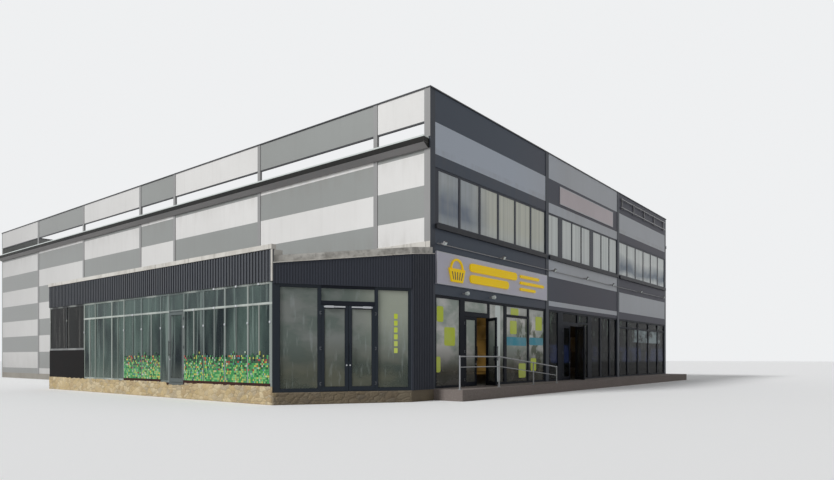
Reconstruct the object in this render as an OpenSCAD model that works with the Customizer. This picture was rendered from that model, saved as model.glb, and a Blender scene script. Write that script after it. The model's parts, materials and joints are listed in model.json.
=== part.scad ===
// A two-storey supermarket building clad in flat horizontal wall panels, with a glazed lean-to along
// its left side. Lengths are in millimetres. The drawing frame of every module below has X along the
// front, Y from the front to the back and Z up from the shop floor, and starts at the front left
// corner of the main block. site() moves it to the origin: the middle of that block at ground level.

/* [Main block] */
// Length of one of the three bays of the front
bay_w = 7840; // [7000:20:8600]
// Height of the shop floor above the ground
floor_z = 340; // [300:10:400]
// Height of the top of the front above the shop floor
top_z = 9330; // [9200:10:9600]
// Height of one wall panel
row_h = 1000; // [980:5:1010]
// Thickness of the wall panels
wall_t = 150; // [120:10:200]
// Lengths of the side's bays, from the front to the back
side_bays = [2200, 6200, 6200, 3100, 6200, 6200, 6200];
// Width of the cover strips over the side's panel joints
strip_w = 170; // [120:10:200]
// Width of the dark posts at the front's bay joints
post_w = 250; // [220:10:300]
// Thickness of the upper floor
deck_t = 300; // [250:10:350]

/* [Roof] */
// Height of the eaves, where the roof rests on the side walls
eave_z = 7640; // [7600:10:7700]
// Rise of the roof from the eaves to the ridge
roof_rise = 1150; // [900:10:1300]
// Thickness of the roof
roof_t = 180; // [150:10:200]
// How far the gutter stands out from the wall
gutter_out = 290; // [250:10:350]

/* [Front windows] */
// Bottom of the upper windows
upper_sill_z = 5150; // [5100:10:5200]
// Top of the upper windows
upper_head_z = 6930; // [6900:10:6980]
// Width of a mullion of the upper windows
upper_mullion = 100; // [80:10:130]
// Top of the shop windows' frames
shop_top_z = 2950; // [2900:10:3000]
// Height of the shop doors
door_h = 2350; // [2300:10:2400]
// Width of a pair of shop doors
door_w = 1460; // [1400:10:1500]
// How far the right leaf of the main entrance stands open
entrance_open = 57; // [0:1:80]
// How far the right leaf of the second entrance stands open
second_open = 50; // [0:1:80]

/* [Lean-to] */
// How far the lean-to stands out from the side wall
annex_d = 4420; // [4200:10:4600]
// Where the lean-to's straight front starts
annex_start = 2080; // [1950:10:2150]
// Where the lean-to ends
annex_end = 16900; // [16500:100:17500]
// Bottom of the fascia above the glazing
fascia_z = 3070; // [3030:10:3110]
// Top of the straight fascia
fascia_top_z = 3950; // [3900:10:4000]
// Distance from rib to rib of the straight fascia
rib_pitch = 138; // [120:1:150]
// Distance from rib to rib of the kiosk's cladding
kiosk_rib_pitch = 78; // [70:1:80]
// Width of one of the straight front's windows next to the kiosk
module_w = 1110; // [1080:2:1130]

/* [Entrance step] */
// Depth of the step along the front
step_d = 1200; // [1100:10:1300]
// Height of the handrail
rail_h = 1000; // [950:10:1100]

/* [Hidden] */

light_c = "gainsboro";
grey_c = "darkgray";
dark_c = [0.26, 0.28, 0.32];
trim_c = [0.65, 0.67, 0.7];
frame_c = [0.2, 0.21, 0.24];
glass_c = [0.5, 0.62, 0.68, 0.45];
pale_c = [0.72, 0.76, 0.74];
sheet_c = [0.87, 0.85, 0.82];
stone_c = [0.6, 0.54, 0.46];
steel_c = [0.75, 0.76, 0.78];

// Sum of the first n entries of a list
function total(list, n) = n <= 0 ? 0 : list[n - 1] + total(list, n - 1);

depth = total(side_bays, len(side_bays));
front_bays = 3;
front_w = front_bays * bay_w;
corner_trim_w = 230;
proud = 15;
groove_w = 15;
groove_d = 20;

// Levels of the front, above the shop floor
row_1 = top_z - row_h;
row_2 = row_1 - row_h;
ledge_z = 5000;
band_z = 4300;
sign_z = 3300;
light_strip_z = 3100;

// Rows of the side: the screen above the gutter is row 0, and the lowest row fills down to the floor
side_rows = 10;
screen_t = 60;

module site() {
    translate([-front_w / 2, -depth / 2, floor_z]) children();
}

module block(a, b) {
    translate(a) cube(b - a);
}

// A round bar between two points that share a Y value
module tube(a, b, r) {
    translate(a) rotate([0, atan2(b[0] - a[0], b[2] - a[2]), 0]) cylinder(h = norm(b - a), r = r, $fn = 24);
}

// The left side's piece, and its mirror image on the right side
module both_sides() {
    children();
    translate([front_w, 0, 0]) mirror([1, 0, 0]) children();
}

// Floors, roof and rear wall

module ground_slab() {
    color(stone_c) site() block([0, 0, -floor_z], [front_w, depth, 0]);
}

module upper_floor() {
    color(trim_c) site()
        block([wall_t, wall_t, band_z - deck_t], [front_w - wall_t, depth - wall_t, band_z]);
}

module roof() {
    mid = front_w / 2;
    color(grey_c) site() translate([0, depth - wall_t, 0]) rotate([90, 0, 0])
        linear_extrude(depth - 2 * wall_t)
            polygon([
                [0, eave_z], [wall_t, eave_z], [mid, eave_z + roof_rise],
                [front_w - wall_t, eave_z], [front_w, eave_z], [front_w, eave_z + roof_t],
                [front_w - wall_t, eave_z + roof_t], [mid, eave_z + roof_t + roof_rise],
                [wall_t, eave_z + roof_t], [0, eave_z + roof_t]
            ]);
}

module rear_wall() {
    color(trim_c) site() block([0, depth - wall_t, 0], [front_w, depth, top_z]);
}

// Side walls

function row_top(k) = k == 0 ? top_z : k == 1 ? eave_z : top_z - k * row_h;
function row_bottom(k) = k == side_rows - 1 ? 0 : top_z - (k + 1) * row_h;
function bay_start(i) = i == 0 ? wall_t : total(side_bays, i) + strip_w;
function bay_end(i) = i == len(side_bays) - 1 ? depth - wall_t : total(side_bays, i + 1) - groove_w;

// Panels of one shade: shade 0 is light and shade 1 is grey, and they alternate like a chequerboard
module side_panels(shade) {
    for (i = [0 : len(side_bays) - 1], k = [0 : side_rows - 1])
        if ((i + k) % 2 == shade)
            block([0, bay_start(i), row_bottom(k)], [k == 0 ? screen_t : wall_t, bay_end(i), row_top(k)]);
}

// A post at a panel joint, with a cover strip on its face and a shadow groove beside it
module joint_post(y, post_t, z0, z1) {
    block([-proud, y, z0], [groove_d, y + strip_w, z1]);
    block([groove_d, y - groove_w, z0], [post_t, y + strip_w, z1]);
}

// The posts of the wall below the gutter, and above it the ones that carry the screen
module side_strip_set() {
    soffit_z = eave_z - roof_t;
    block([-proud, 0, 0], [0, corner_trim_w, soffit_z]);
    block([-proud, 0, eave_z + roof_t], [0, corner_trim_w, top_z]);
    for (i = [1 : len(side_bays) - 1]) {
        y = total(side_bays, i);
        joint_post(y, wall_t, 0, soffit_z);
        block([0, y - groove_w, soffit_z], [wall_t, y + strip_w, eave_z]);
        joint_post(y, screen_t, eave_z + roof_t, top_z);
    }
}

// The gutter: a trough on a sloping soffit, along the whole eaves
module side_gutter() {
    sheet = 25;
    back = 60;
    flare = 30;
    soffit_rise = 130;
    lip_z = eave_z + roof_t - 20;
    soffit_z = eave_z - roof_t;
    trough_z = soffit_z + soffit_rise;
    front_gap = 60;
    translate([0, depth, 0]) rotate([90, 0, 0]) linear_extrude(depth - front_gap)
        polygon([
            [0, soffit_z], [-back, soffit_z], [-gutter_out + flare, trough_z], [-gutter_out, lip_z],
            [-gutter_out + sheet, lip_z], [-gutter_out + flare + sheet, trough_z + sheet],
            [-back, trough_z + sheet], [-back, eave_z + roof_t], [0, eave_z + roof_t]
        ]);
}

module side_panels_light() { color(light_c) site() both_sides() side_panels(0); }
module side_panels_grey() { color(grey_c) site() both_sides() side_panels(1); }
module side_strips() { color(trim_c) site() both_sides() side_strip_set(); }
module gutters() { color(frame_c) site() both_sides() side_gutter(); }

// Thin caps on the front, on the screens and on the rear wall, and the rails under the screens
module coping() {
    cap_h = 40;
    over = 30;
    inward = 20;
    cap_z = top_z + cap_h;
    side_cap = [wall_t + 2 * inward, depth - wall_t - 2 * inward];
    under_rail_h = 50;
    color(frame_c) site() {
        block([-over, -over, top_z], [front_w + over, wall_t + inward, cap_z]);
        block([-over, depth - wall_t - inward, top_z], [front_w + over, depth, cap_z]);
        both_sides() {
            block([-over, side_cap[0], top_z], [screen_t + over, side_cap[1], cap_z]);
            for (i = [0 : len(side_bays) - 1])
                block([0, bay_start(i), row_1 - under_rail_h], [screen_t, bay_end(i), row_1]);
        }
    }
}

// Front wall

// The clear stretch of front bay i, between its posts
function bay_left(i) = i == 0 ? post_w : i * bay_w + post_w / 2;
function bay_right(i) = i == front_bays - 1 ? front_w - post_w : (i + 1) * bay_w - post_w / 2;

module front_band(i, bottom, top) {
    block([bay_left(i), 0, bottom], [bay_right(i), wall_t, top]);
}

module front_posts() {
    joint_out = 20;
    color(dark_c) site() {
        for (x = [0, front_w - post_w])
            block([x, 0, 0], [x + post_w, wall_t, top_z]);
        for (i = [1 : front_bays - 1])
            block([i * bay_w - post_w / 2, -joint_out, 0], [i * bay_w + post_w / 2, wall_t, top_z]);
    }
}

module front_panels_dark() {
    color(dark_c) site() {
        for (i = [0, 2]) {
            front_band(i, row_1, top_z);
            front_band(i, upper_head_z, row_2);
            front_band(i, band_z, ledge_z);
            front_band(i, shop_top_z, sign_z);
        }
        front_band(1, row_2, row_1);
        front_band(1, sign_z, band_z);
        front_band(1, shop_top_z, light_strip_z);
    }
}

module front_panels_light() {
    color(light_c) site() {
        for (i = [0, 2]) {
            front_band(i, row_2, row_1);
            front_band(i, sign_z, band_z);
        }
        front_band(1, row_1, top_z);
        front_band(1, upper_head_z, row_2);
        front_band(1, band_z, ledge_z);
        front_band(1, light_strip_z, sign_z);
    }
}

module front_ledge() {
    ledge_out = 90;
    color(frame_c) site() for (i = [0 : front_bays - 1])
        block([bay_left(i), -ledge_out, ledge_z], [bay_right(i), wall_t, upper_sill_z]);
}

// Windows of the front

// Frames stand back from the wall's face by frame_y, and the panes by glass_y. The upper panes lie
// nearer to the front of their frames.
frame_y = 20;
frame_d = 100;
glass_y = 55;
upper_glass_y = 35;
glass_t = 30;

// Widths in the upper windows, and the height of their top and bottom rails. The frame is wider at
// the main corner.
edge_w = 40;
corner_edge_w = 190;
wide_post = 380;
slim_mullion = 80;
upper_rail = 60;

// Panes between x0 and x1, as [left, right], in groups that wide posts part
function pane_row(x0, x1, groups, mullion) =
    let(
        count = total(groups, len(groups)),
        inner = x1 - x0 - 2 * edge_w - (len(groups) - 1) * wide_post - (count - len(groups)) * mullion,
        pane = floor(inner / count)
    )
    [for (g = [0 : len(groups) - 1], k = [0 : groups[g] - 1])
        let(before = total(groups, g) + k, left = x0 + edge_w + before * pane + (before - g) * mullion
            + g * wide_post)
        [left, left + pane]];

upper_rows = [
    for (i = [0 : front_bays - 1])
        i == 1 ? pane_row(bay_left(i), bay_right(i), [1, 3, 3], slim_mullion)
        : pane_row(bay_left(i) + (i == 0 ? corner_edge_w - edge_w : 0), bay_right(i), [6], upper_mullion)
];
upper_glass_z = [upper_sill_z + upper_rail, upper_head_z - upper_rail];

module upper_frames() {
    color(frame_c) site() for (i = [0 : front_bays - 1])
        difference() {
            block([bay_left(i), frame_y, upper_sill_z], [bay_right(i), frame_y + frame_d, upper_head_z]);
            for (p = upper_rows[i])
                block([p[0], 0, upper_glass_z[0]], [p[1], wall_t, upper_glass_z[1]]);
        }
}

module upper_glass() {
    color(glass_c) site() for (row = upper_rows, p = row)
        block([p[0], upper_glass_y, upper_glass_z[0]], [p[1], upper_glass_y + glass_t, upper_glass_z[1]]);
}

// Lights of the shop front, bay by bay, as [left, right, kind]. A plain light is one pane, a barred
// one has a transom bar, and a doorway has a pane above its head.
PLAIN = 0;
BARRED = 1;
DOORWAY = 2;
entrance_x = 1920;
second_x = 9380;
shop_lights = [
    [
        [340, 1640, PLAIN], [entrance_x, entrance_x + door_w, DOORWAY], [3480, 4480, PLAIN],
        [4660, 6260, BARRED], [6380, 7640, PLAIN]
    ],
    [
        [8100, 8900, PLAIN], [second_x, second_x + door_w, DOORWAY], [10960, 11980, BARRED],
        [12420, 13410, PLAIN], [13600, 14580, PLAIN], [14760, 15480, PLAIN]
    ],
    [
        [15880, 17060, BARRED], [17200, 18640, BARRED], [18780, 20330, BARRED],
        [20470, 21970, BARRED], [22110, 23190, BARRED]
    ]
];
shop_sill = 60;
shop_head = shop_top_z - 80;
bar_w = 70;
transom_z = 2480;
door_head_z = door_h + 150;

// The panes of one light, as [left, right, bottom, top]
function light_panes(s) =
    s[2] == PLAIN ? [[s[0], s[1], shop_sill, shop_head]]
    : s[2] == BARRED ? [[s[0], s[1], shop_sill, transom_z], [s[0], s[1], transom_z + bar_w, shop_head]]
    : [[s[0], s[1], door_head_z, shop_head]];

// Stretches of a bay's frame beside its doorway, as [left, right]
function bay_runs(i) =
    let(doors = [for (s = shop_lights[i]) if (s[2] == DOORWAY) s])
    len(doors) == 0 ? [[bay_left(i), bay_right(i)]]
    : [[bay_left(i), doors[0][0]], [doors[0][1], bay_right(i)]];

// A frame from x0 to x1 and z0 to z1 with holes for panes given as [left, right, bottom, top]
module pierced_frame(x0, x1, z0, z1, panes, d = frame_d) {
    difference() {
        block([x0, frame_y, z0], [x1, frame_y + d, z1]);
        for (p = panes)
            block([p[0], 0, p[2]], [p[1], wall_t + d, p[3]]);
    }
}

module shop_frames() {
    color(frame_c) site() for (i = [0 : front_bays - 1], run = bay_runs(i))
        pierced_frame(run[0], run[1], 0, shop_top_z,
            [for (s = shop_lights[i], p = light_panes(s)) if (s[0] > run[0] && s[1] < run[1]) p]);
}

// Heads of the doorways, each with a pane above it
module door_heads() {
    color(frame_c) site() {
        for (bay = shop_lights, s = bay) if (s[2] == DOORWAY)
            pierced_frame(s[0], s[1], door_h, shop_top_z, light_panes(s));
        kiosk_face()
            pierced_frame(kiosk_door[0], kiosk_door[1], kiosk_door_h, kiosk_top_z, [kiosk_transom]);
    }
}

module shop_panes(panes) {
    for (p = panes)
        block([p[0], glass_y, p[2]], [p[1], glass_y + glass_t, p[3]]);
}

// The panes of the shop front and of the kiosk
module shop_glass() {
    color(glass_c) site() {
        shop_panes([for (bay = shop_lights, s = bay, p = light_panes(s)) p]);
        kiosk_face() shop_panes(concat(kiosk_windows, [kiosk_transom]));
    }
}

// Doors

leaf_t = 50;
leaf_gap = 6;
leaf_foot = 10;
stile_w = 90;
kick_h = 130;

// The hinge axis lies in front of the leaf's outer face and beside its edge
hinge_side = 3;
hinge_front = 12;
knuckle_r = 9;
knuckle_h = 44;
hinge_plate = 40;
plate_t = 6;
hinge_end = 220;

// Heights of the three hinges of a leaf of height h
function hinge_heights(h) = [hinge_end, h / 2, h - hinge_end];

// Bar handles on both faces of a leaf of width w: each bar stands on two studs that are let in
module leaf_handles(w) {
    stand = 46;
    let_in = 1;
    foot_z = 850;
    bar_l = 500;
    bar_r = 12;
    stud_r = 8;
    stud_end = 50;
    grip_x = w - stile_w / 2;
    for (y = [let_in, leaf_t + stand - let_in], z = [foot_z + stud_end, foot_z + bar_l - stud_end])
        translate([grip_x, y, z]) rotate([90, 0, 0]) cylinder(h = stand, r = stud_r, $fn = 24);
    for (y = [let_in - stand, leaf_t + stand - let_in])
        translate([grip_x, y, foot_z]) cylinder(h = bar_l, r = bar_r, $fn = 24);
}

// One leaf in its own frame: the hinge axis is at the origin, the leaf runs along +X and its outer
// face looks along -Y
module leaf_frame(w, h) {
    translate([hinge_side, hinge_front, 0]) {
        difference() {
            block([0, 0, 0], [w, leaf_t, h]);
            block([stile_w, -1, kick_h], [w - stile_w, leaf_t + 1, h - stile_w]);
        }
        leaf_handles(w);
    }
    for (z = hinge_heights(h)) {
        translate([0, 0, z - knuckle_h / 2]) cylinder(h = knuckle_h, r = knuckle_r, $fn = 32);
        block([0, hinge_front - plate_t, z - knuckle_h / 2], [hinge_plate, hinge_front, z + knuckle_h / 2]);
    }
}

module leaf_glass(w, h) {
    back = 15;
    pane_t = 20;
    translate([hinge_side, hinge_front, 0])
        block([stile_w, back, kick_h], [w - stile_w, back + pane_t, h - stile_w]);
}

// The fixed halves of a leaf's hinges, on the jamb beside it: a knuckle above and below the leaf's own
module hinge_posts(h) {
    play = 1;
    half = knuckle_h / 2;
    reach = half + play;
    plate_y = hinge_front - plate_t;
    for (z = hinge_heights(h)) {
        for (low = [z - reach - half, z + reach]) {
            translate([0, 0, low]) cylinder(h = half, r = knuckle_r, $fn = 32);
            block([-hinge_plate, plate_y, low], [0, hinge_front, low + half]);
        }
        block([-hinge_plate, plate_y, z - reach], [-hinge_plate / 2, hinge_front, z + reach]);
    }
}

// Places a leaf that is hinged on its left, or on its right as its mirror image, swung out by angle
module left_hung(x, angle) {
    translate([x + leaf_gap - hinge_side, frame_y - hinge_front, leaf_foot])
        rotate([0, 0, -angle]) children();
}

module right_hung(x, angle) {
    translate([x - leaf_gap + hinge_side, frame_y - hinge_front, leaf_foot]) rotate([0, 0, angle])
        mirror([1, 0, 0]) children();
}

// Half of the gap between the two leaves of a pair
meeting_gap = 5;
shop_leaf_w = door_w / 2 - leaf_gap - meeting_gap;
shop_leaf_h = door_h - 2 * leaf_foot;

module entrance_left_leaf() {
    color(frame_c) site() left_hung(entrance_x, 0) leaf_frame(shop_leaf_w, shop_leaf_h);
}
module entrance_left_pane() {
    color(glass_c) site() left_hung(entrance_x, 0) leaf_glass(shop_leaf_w, shop_leaf_h);
}
module entrance_right_leaf() {
    color(frame_c) site()
        right_hung(entrance_x + door_w, entrance_open) leaf_frame(shop_leaf_w, shop_leaf_h);
}
module entrance_right_pane() {
    color(glass_c) site()
        right_hung(entrance_x + door_w, entrance_open) leaf_glass(shop_leaf_w, shop_leaf_h);
}
module second_left_leaf() {
    color(frame_c) site() left_hung(second_x, 0) leaf_frame(shop_leaf_w, shop_leaf_h);
}
module second_left_pane() {
    color(glass_c) site() left_hung(second_x, 0) leaf_glass(shop_leaf_w, shop_leaf_h);
}
module second_right_leaf() {
    color(frame_c) site()
        right_hung(second_x + door_w, second_open) leaf_frame(shop_leaf_w, shop_leaf_h);
}
module second_right_pane() {
    color(glass_c) site()
        right_hung(second_x + door_w, second_open) leaf_glass(shop_leaf_w, shop_leaf_h);
}

// Signs, lamps and other fittings of the front. The boards are blank.

module sign_boards() {
    board_out = 70;
    board_drop = 20;
    banner_out = 20;
    banner_ends = [1050, 600];
    banner_margin = 130;
    color(pale_c) site() {
        block([bay_left(0), -board_out, sign_z - board_drop], [bay_right(0), 0, band_z]);
        block([bay_left(1) + banner_ends[0], -banner_out, row_2 + banner_margin],
            [bay_right(1) - banner_ends[1], 0, row_1 - banner_margin]);
    }
}

// Two bare rails for a sign on the right bay, carried by five hangers
module sign_rails() {
    inset = 150;
    x0 = bay_left(2) + inset;
    x1 = bay_right(2) - inset;
    rail_z = [8620, 9040];
    rail_h = 40;
    rail_y = [-90, -60];
    hanger_w = 40;
    hanger_z = [rail_z[0] - 60, rail_z[1] + 100];
    first = x0 + 200;
    step = (x1 - x0 - 400 - hanger_w) / 4;
    for (z = rail_z)
        block([x0, rail_y[0], z], [x1, rail_y[1], z + rail_h]);
    for (k = [0 : 4])
        block([first + k * step, rail_y[1], hanger_z[0]], [first + k * step + hanger_w, 0, hanger_z[1]]);
}

pipe_z = 4540;
pipe_y = -40;

// A floodlight on an arm that crosses the pipe. Its head is tipped towards the wall below it.
module floodlight(x) {
    arm = 15;
    arm_l = 230;
    head = [140, 60, 120];
    tip = 30;
    block([x - arm, -arm_l, pipe_z - arm], [x + arm, 0, pipe_z + arm]);
    translate([x, -arm_l, pipe_z]) rotate([tip, 0, 0]) translate([-head[0] / 2, -head[1], -head[2] / 2])
        cube(head);
}

// A short round lamp or camera on a bracket, under the sign board
module bracket_lamp(x, z) {
    out = 120;
    arm = 20;
    block([x - arm, -out, z - arm], [x + arm, 0, z + arm]);
    translate([x, -out, z]) rotate([90, 0, 0]) cylinder(h = out, r = 45, $fn = 32);
}

module front_fittings() {
    color(steel_c) site() {
        sign_rails();
        tube([300, pipe_y, pipe_z], [front_w - 400, pipe_y, pipe_z], 15);
        for (x = [420, 4000, 8060, 11300, 14400, 18400, 22300])
            floodlight(x);
        for (x = [1770, 3440])
            bracket_lamp(x, 3080);
    }
}

// Step and handrail

module front_step() {
    color(stone_c) site() block([0, -step_d, -floor_z], [front_w, 0, 0]);
}

// Posts with a ball on each, a top rail from ball to ball and a thinner rail below it
module handrail() {
    rail_y = -1060;
    low_h = 620;
    mid_drop = 320;
    post_r = 24;
    ball_r = 32;
    mid_r = 14;
    short = 6;
    xs = [60, 2320, 4680, 6530];
    fall = (rail_h - low_h) / (xs[3] - xs[1]);
    heights = [for (x = xs) x < xs[1] ? rail_h : rail_h - (x - xs[1]) * fall];
    color(steel_c) site() {
        for (k = [0 : 3]) {
            translate([xs[k], rail_y, 0]) cylinder(h = heights[k] - 10, r = post_r, $fn = 24);
            translate([xs[k], rail_y, heights[k]]) sphere(r = ball_r, $fn = 32);
        }
        for (k = [0 : 2]) {
            tube([xs[k] + short, rail_y, heights[k]], [xs[k + 1] - short, rail_y, heights[k + 1]], 20);
            tube([xs[k] + short, rail_y, heights[k] - mid_drop],
                [xs[k + 1] - short, rail_y, heights[k + 1] - mid_drop], mid_r);
        }
    }
}

// Lean-to: a kiosk with a slanting front, and a longer extension behind it

kiosk_pier_w = 1060;
pier_out = 130;
kiosk_top_z = 3010;

// Ends of the slanting front in plan, its length and its turn
kiosk_from = [-annex_d, annex_start];
kiosk_to = [-kiosk_pier_w, -pier_out];
kiosk_run = kiosk_to - kiosk_from;
kiosk_len = norm(kiosk_run);
kiosk_turn = atan2(kiosk_run[1], kiosk_run[0]);

// The roof's top rises from the straight front to the side wall
annex_low_z = 3560;
annex_slope = 0.135;
annex_high_z = annex_low_z + annex_d * annex_slope;
annex_slab_t = 110;

// Claddings: the sheet with its backing, the ribs on it and the plain end wall
clad_t = 60;
rib_out = 25;
kiosk_rib_out = 16;
end_wall_t = 90;

// Drawing frame of the kiosk's slanting front: X along it and -Y outwards
module kiosk_face() {
    translate([kiosk_from[0], kiosk_from[1], 0]) rotate([0, 0, kiosk_turn]) children();
}

// The lean-to's plan between two heights, pulled in from its outer faces by a margin: a box with
// its front corner cut off along the kiosk's slanting front
module annex_body(z0, z1, margin, end_margin) {
    far = 3000;
    difference() {
        block([margin - annex_d, margin - pier_out, z0], [0, annex_end - end_margin, z1]);
        kiosk_face() block([-far, -far, z0 - 1], [kiosk_len + far, margin, z1 + 1]);
    }
}

module annex_plinth() {
    color(stone_c) site() annex_body(-floor_z, 0, 0, 0);
}

// What meets the side wall is let in round its cover strips
module round_strips() {
    difference() {
        children();
        side_strip_set();
    }
}

// A slab that rises towards the side wall, between the claddings
module annex_roof() {
    spare = 500;
    play = 0.1;
    color(grey_c) site() round_strips() intersection() {
        difference() {
            annex_body(annex_low_z - spare, annex_high_z + spare, clad_t + play, end_wall_t);
            block([-clad_t, -pier_out, 0], [0, 0, top_z]);
        }
        translate([0, annex_end, 0]) rotate([90, 0, 0]) linear_extrude(annex_end + spare)
            polygon([
                [-annex_d, annex_low_z - annex_slab_t], [0, annex_high_z - annex_slab_t],
                [0, annex_high_z], [-annex_d, annex_low_z]
            ]);
    }
}

// Vertical ribs on the outer face of a cladding sheet of length w, each as wide as the gap beside it
module ribs(w, bottom, top, about, out) {
    count = floor(w / about);
    pitch = w / count;
    let_in = 1;
    for (k = [0 : count - 1])
        block([(k + 1 / 4) * pitch, -out, bottom], [(k + 3 / 4) * pitch, let_in, top]);
}

// The roof's top at the inner end of the kiosk's fascia
pier_low_z = annex_low_z + kiosk_run[0] * annex_slope;

module kiosk_ribs(w, bottom, top) {
    ribs(w, bottom, top, kiosk_rib_pitch, kiosk_rib_out);
}

// The kiosk's fascia rises with the roof
module kiosk_fascia() {
    far = 1000;
    difference() {
        kiosk_face() intersection() {
            translate([0, clad_t, 0]) rotate([90, 0, 0]) linear_extrude(clad_t + kiosk_rib_out)
                polygon([
                    [0, kiosk_top_z], [kiosk_len, kiosk_top_z], [kiosk_len, pier_low_z], [0, annex_low_z]
                ]);
            union() {
                block([0, 0, kiosk_top_z], [kiosk_len, clad_t, annex_high_z]);
                kiosk_ribs(kiosk_len, kiosk_top_z, annex_high_z);
            }
        }
        block([-kiosk_pier_w - groove_w, -far, 0], [0, far, annex_high_z]);
        block([-annex_d - far, annex_start, 0], [0, annex_start + far, annex_high_z]);
    }
}

// The pier beside the kiosk reaches the corner of the main block, and its top rises with the roof
module kiosk_pier() {
    spare = 20;
    spare_rise = spare * annex_slope;
    top = annex_high_z + spare;
    translate([-kiosk_pier_w, -pier_out, 0]) intersection() {
        translate([0, pier_out + spare, 0]) rotate([90, 0, 0])
            linear_extrude(pier_out + kiosk_rib_out + 2 * spare)
                polygon([
                    [-spare, -spare], [kiosk_pier_w + spare, -spare],
                    [kiosk_pier_w + spare, annex_high_z + spare_rise], [-spare, pier_low_z - spare_rise]
                ]);
        union() {
            block([0, 0, 0], [kiosk_pier_w, clad_t, top]);
            block([kiosk_pier_w - clad_t, 0, 0], [kiosk_pier_w, pier_out, top]);
            kiosk_ribs(kiosk_pier_w, 0, top);
        }
    }
}

module kiosk_cladding() {
    color(frame_c) site() {
        kiosk_fascia();
        kiosk_pier();
    }
}

// Kiosk glazing, along the slanting front
kiosk_door = [1340, 2910];
kiosk_door_h = 2460;
kiosk_head_h = 100;
kiosk_sill = 90;
kiosk_head = kiosk_top_z - 70;
kiosk_windows = [[200, 1260, kiosk_sill, kiosk_head], [2990, 3930, kiosk_sill, kiosk_head]];
kiosk_transom = [kiosk_door[0], kiosk_door[1], kiosk_door_h + kiosk_head_h, kiosk_head];

module kiosk_frames() {
    far = 3000;
    color(frame_c) site() difference() {
        kiosk_face() {
            pierced_frame(0, kiosk_door[0], 0, kiosk_top_z, [kiosk_windows[0]]);
            pierced_frame(kiosk_door[1], kiosk_len, 0, kiosk_top_z, [kiosk_windows[1]]);
        }
        block([-kiosk_pier_w, -far, -1], [far, far, kiosk_top_z + 1]);
    }
}

kiosk_leaf_w = (kiosk_door[1] - kiosk_door[0]) / 2 - leaf_gap - meeting_gap;
kiosk_leaf_h = kiosk_door_h - 2 * leaf_foot;

module kiosk_left_leaf() {
    color(frame_c) site() kiosk_face()
        left_hung(kiosk_door[0], 0) leaf_frame(kiosk_leaf_w, kiosk_leaf_h);
}
module kiosk_left_pane() {
    color(glass_c) site() kiosk_face()
        left_hung(kiosk_door[0], 0) leaf_glass(kiosk_leaf_w, kiosk_leaf_h);
}
module kiosk_right_leaf() {
    color(frame_c) site() kiosk_face()
        right_hung(kiosk_door[1], 0) leaf_frame(kiosk_leaf_w, kiosk_leaf_h);
}
module kiosk_right_pane() {
    color(glass_c) site() kiosk_face()
        right_hung(kiosk_door[1], 0) leaf_glass(kiosk_leaf_w, kiosk_leaf_h);
}

// Drawing frame of the extension's front: X along it from its far end, -Y outwards
module extension_face() {
    translate([-annex_d, annex_end, 0]) rotate([0, 0, -90]) children();
}

// Widths of the extension's ten window modules, from the far window to the corner post. The first three
// and the one with the door reach lower than the others. The door has a narrow side light.
extension_len = annex_end - annex_start;
corner_post = 110;
post_lap = 10;
module_widths = [920, 1330, 920, 1260, 1260, 1410, module_w, module_w, module_w, module_w - 100];
modules = len(module_widths);
low_group = [0, 1, 2];
door_module = 5;
side_light_w = 500;
mosaic_modules = [3, 4, 6, 7, 8, 9];
glazing_end = extension_len - corner_post;
glazing_start = glazing_end - post_lap - total(module_widths, modules);
slim_post = 50;
half_post = slim_post / 2;
centre_bar = 24;

// Its heights and depths
sill_h = 250;
low_sill_h = 150;
low_rail = 50;
transom_z0 = 2450;
transom_h = 40;
ext_head = fascia_z - 50;
far_sill_z = 1330;
far_rail = 60;
slim_d = 60;
beam_y = [10, 110];
extension_door_foot = 160;

// Left edge of window module k, counted from the far end
function module_x(k) = glazing_start + total(module_widths, k);

extension_door = [module_x(door_module) + side_light_w + half_post, module_x(door_module + 1) - half_post];

// Runs of the sill beam, as [left, right, top]
low_group_end = module_x(len(low_group));
sill_runs = [
    [glazing_start, low_group_end, low_sill_h],
    [low_group_end, module_x(door_module), sill_h],
    [module_x(door_module), extension_door[0], low_sill_h],
    [extension_door[1], glazing_end, sill_h]
];

module extension_fascia() {
    color(dark_c) site() extension_face() {
        block([0, 0, fascia_z], [extension_len, clad_t, fascia_top_z]);
        ribs(extension_len, fascia_z, fascia_top_z, rib_pitch, rib_out);
    }
}

// The sill beam under the glazing, and the dark panel under the far window
module extension_sill() {
    gap = 20;
    color(frame_c) site() extension_face() {
        for (r = sill_runs)
            block([r[0], beam_y[0], 0], [r[1], beam_y[1], r[2]]);
        block([0, beam_y[0], 0], [glazing_start - gap, beam_y[1], far_sill_z - far_rail]);
    }
}

// Lights of the extension, as [left, right, bottom, top]: two low ones in each module but the door's,
// one beside the door, one high one over each of them and over the door, and two in the far window
low_lights = [
    for (k = [0 : modules - 1], half = [0, 1]) if (k != door_module)
        let(
            w = (module_widths[k] - slim_post - centre_bar) / 2,
            left = module_x(k) + half_post + half * (w + centre_bar),
            sill = len(search(k, low_group)) > 0 ? low_sill_h : sill_h
        )
        [left, left + w, sill + low_rail, transom_z0]
];
side_light = [module_x(door_module) + half_post, extension_door[0] - slim_post];
high_spans = concat([side_light, extension_door], [
    for (k = [0 : modules - 1]) if (k != door_module)
        [module_x(k) + half_post, module_x(k + 1) - half_post]
]);
high_lights = [for (s = high_spans) [s[0], s[1], transom_z0 + transom_h, ext_head]];
far_lights = [
    for (k = [0, 1])
        let(pitch = (glazing_start - slim_post) / 2)
        [slim_post + k * pitch, (k + 1) * pitch, far_sill_z, ext_head]
];
extension_lights = concat(
    low_lights, high_lights, far_lights,
    [[side_light[0], side_light[1], low_sill_h + low_rail, transom_z0]]
);

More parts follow.
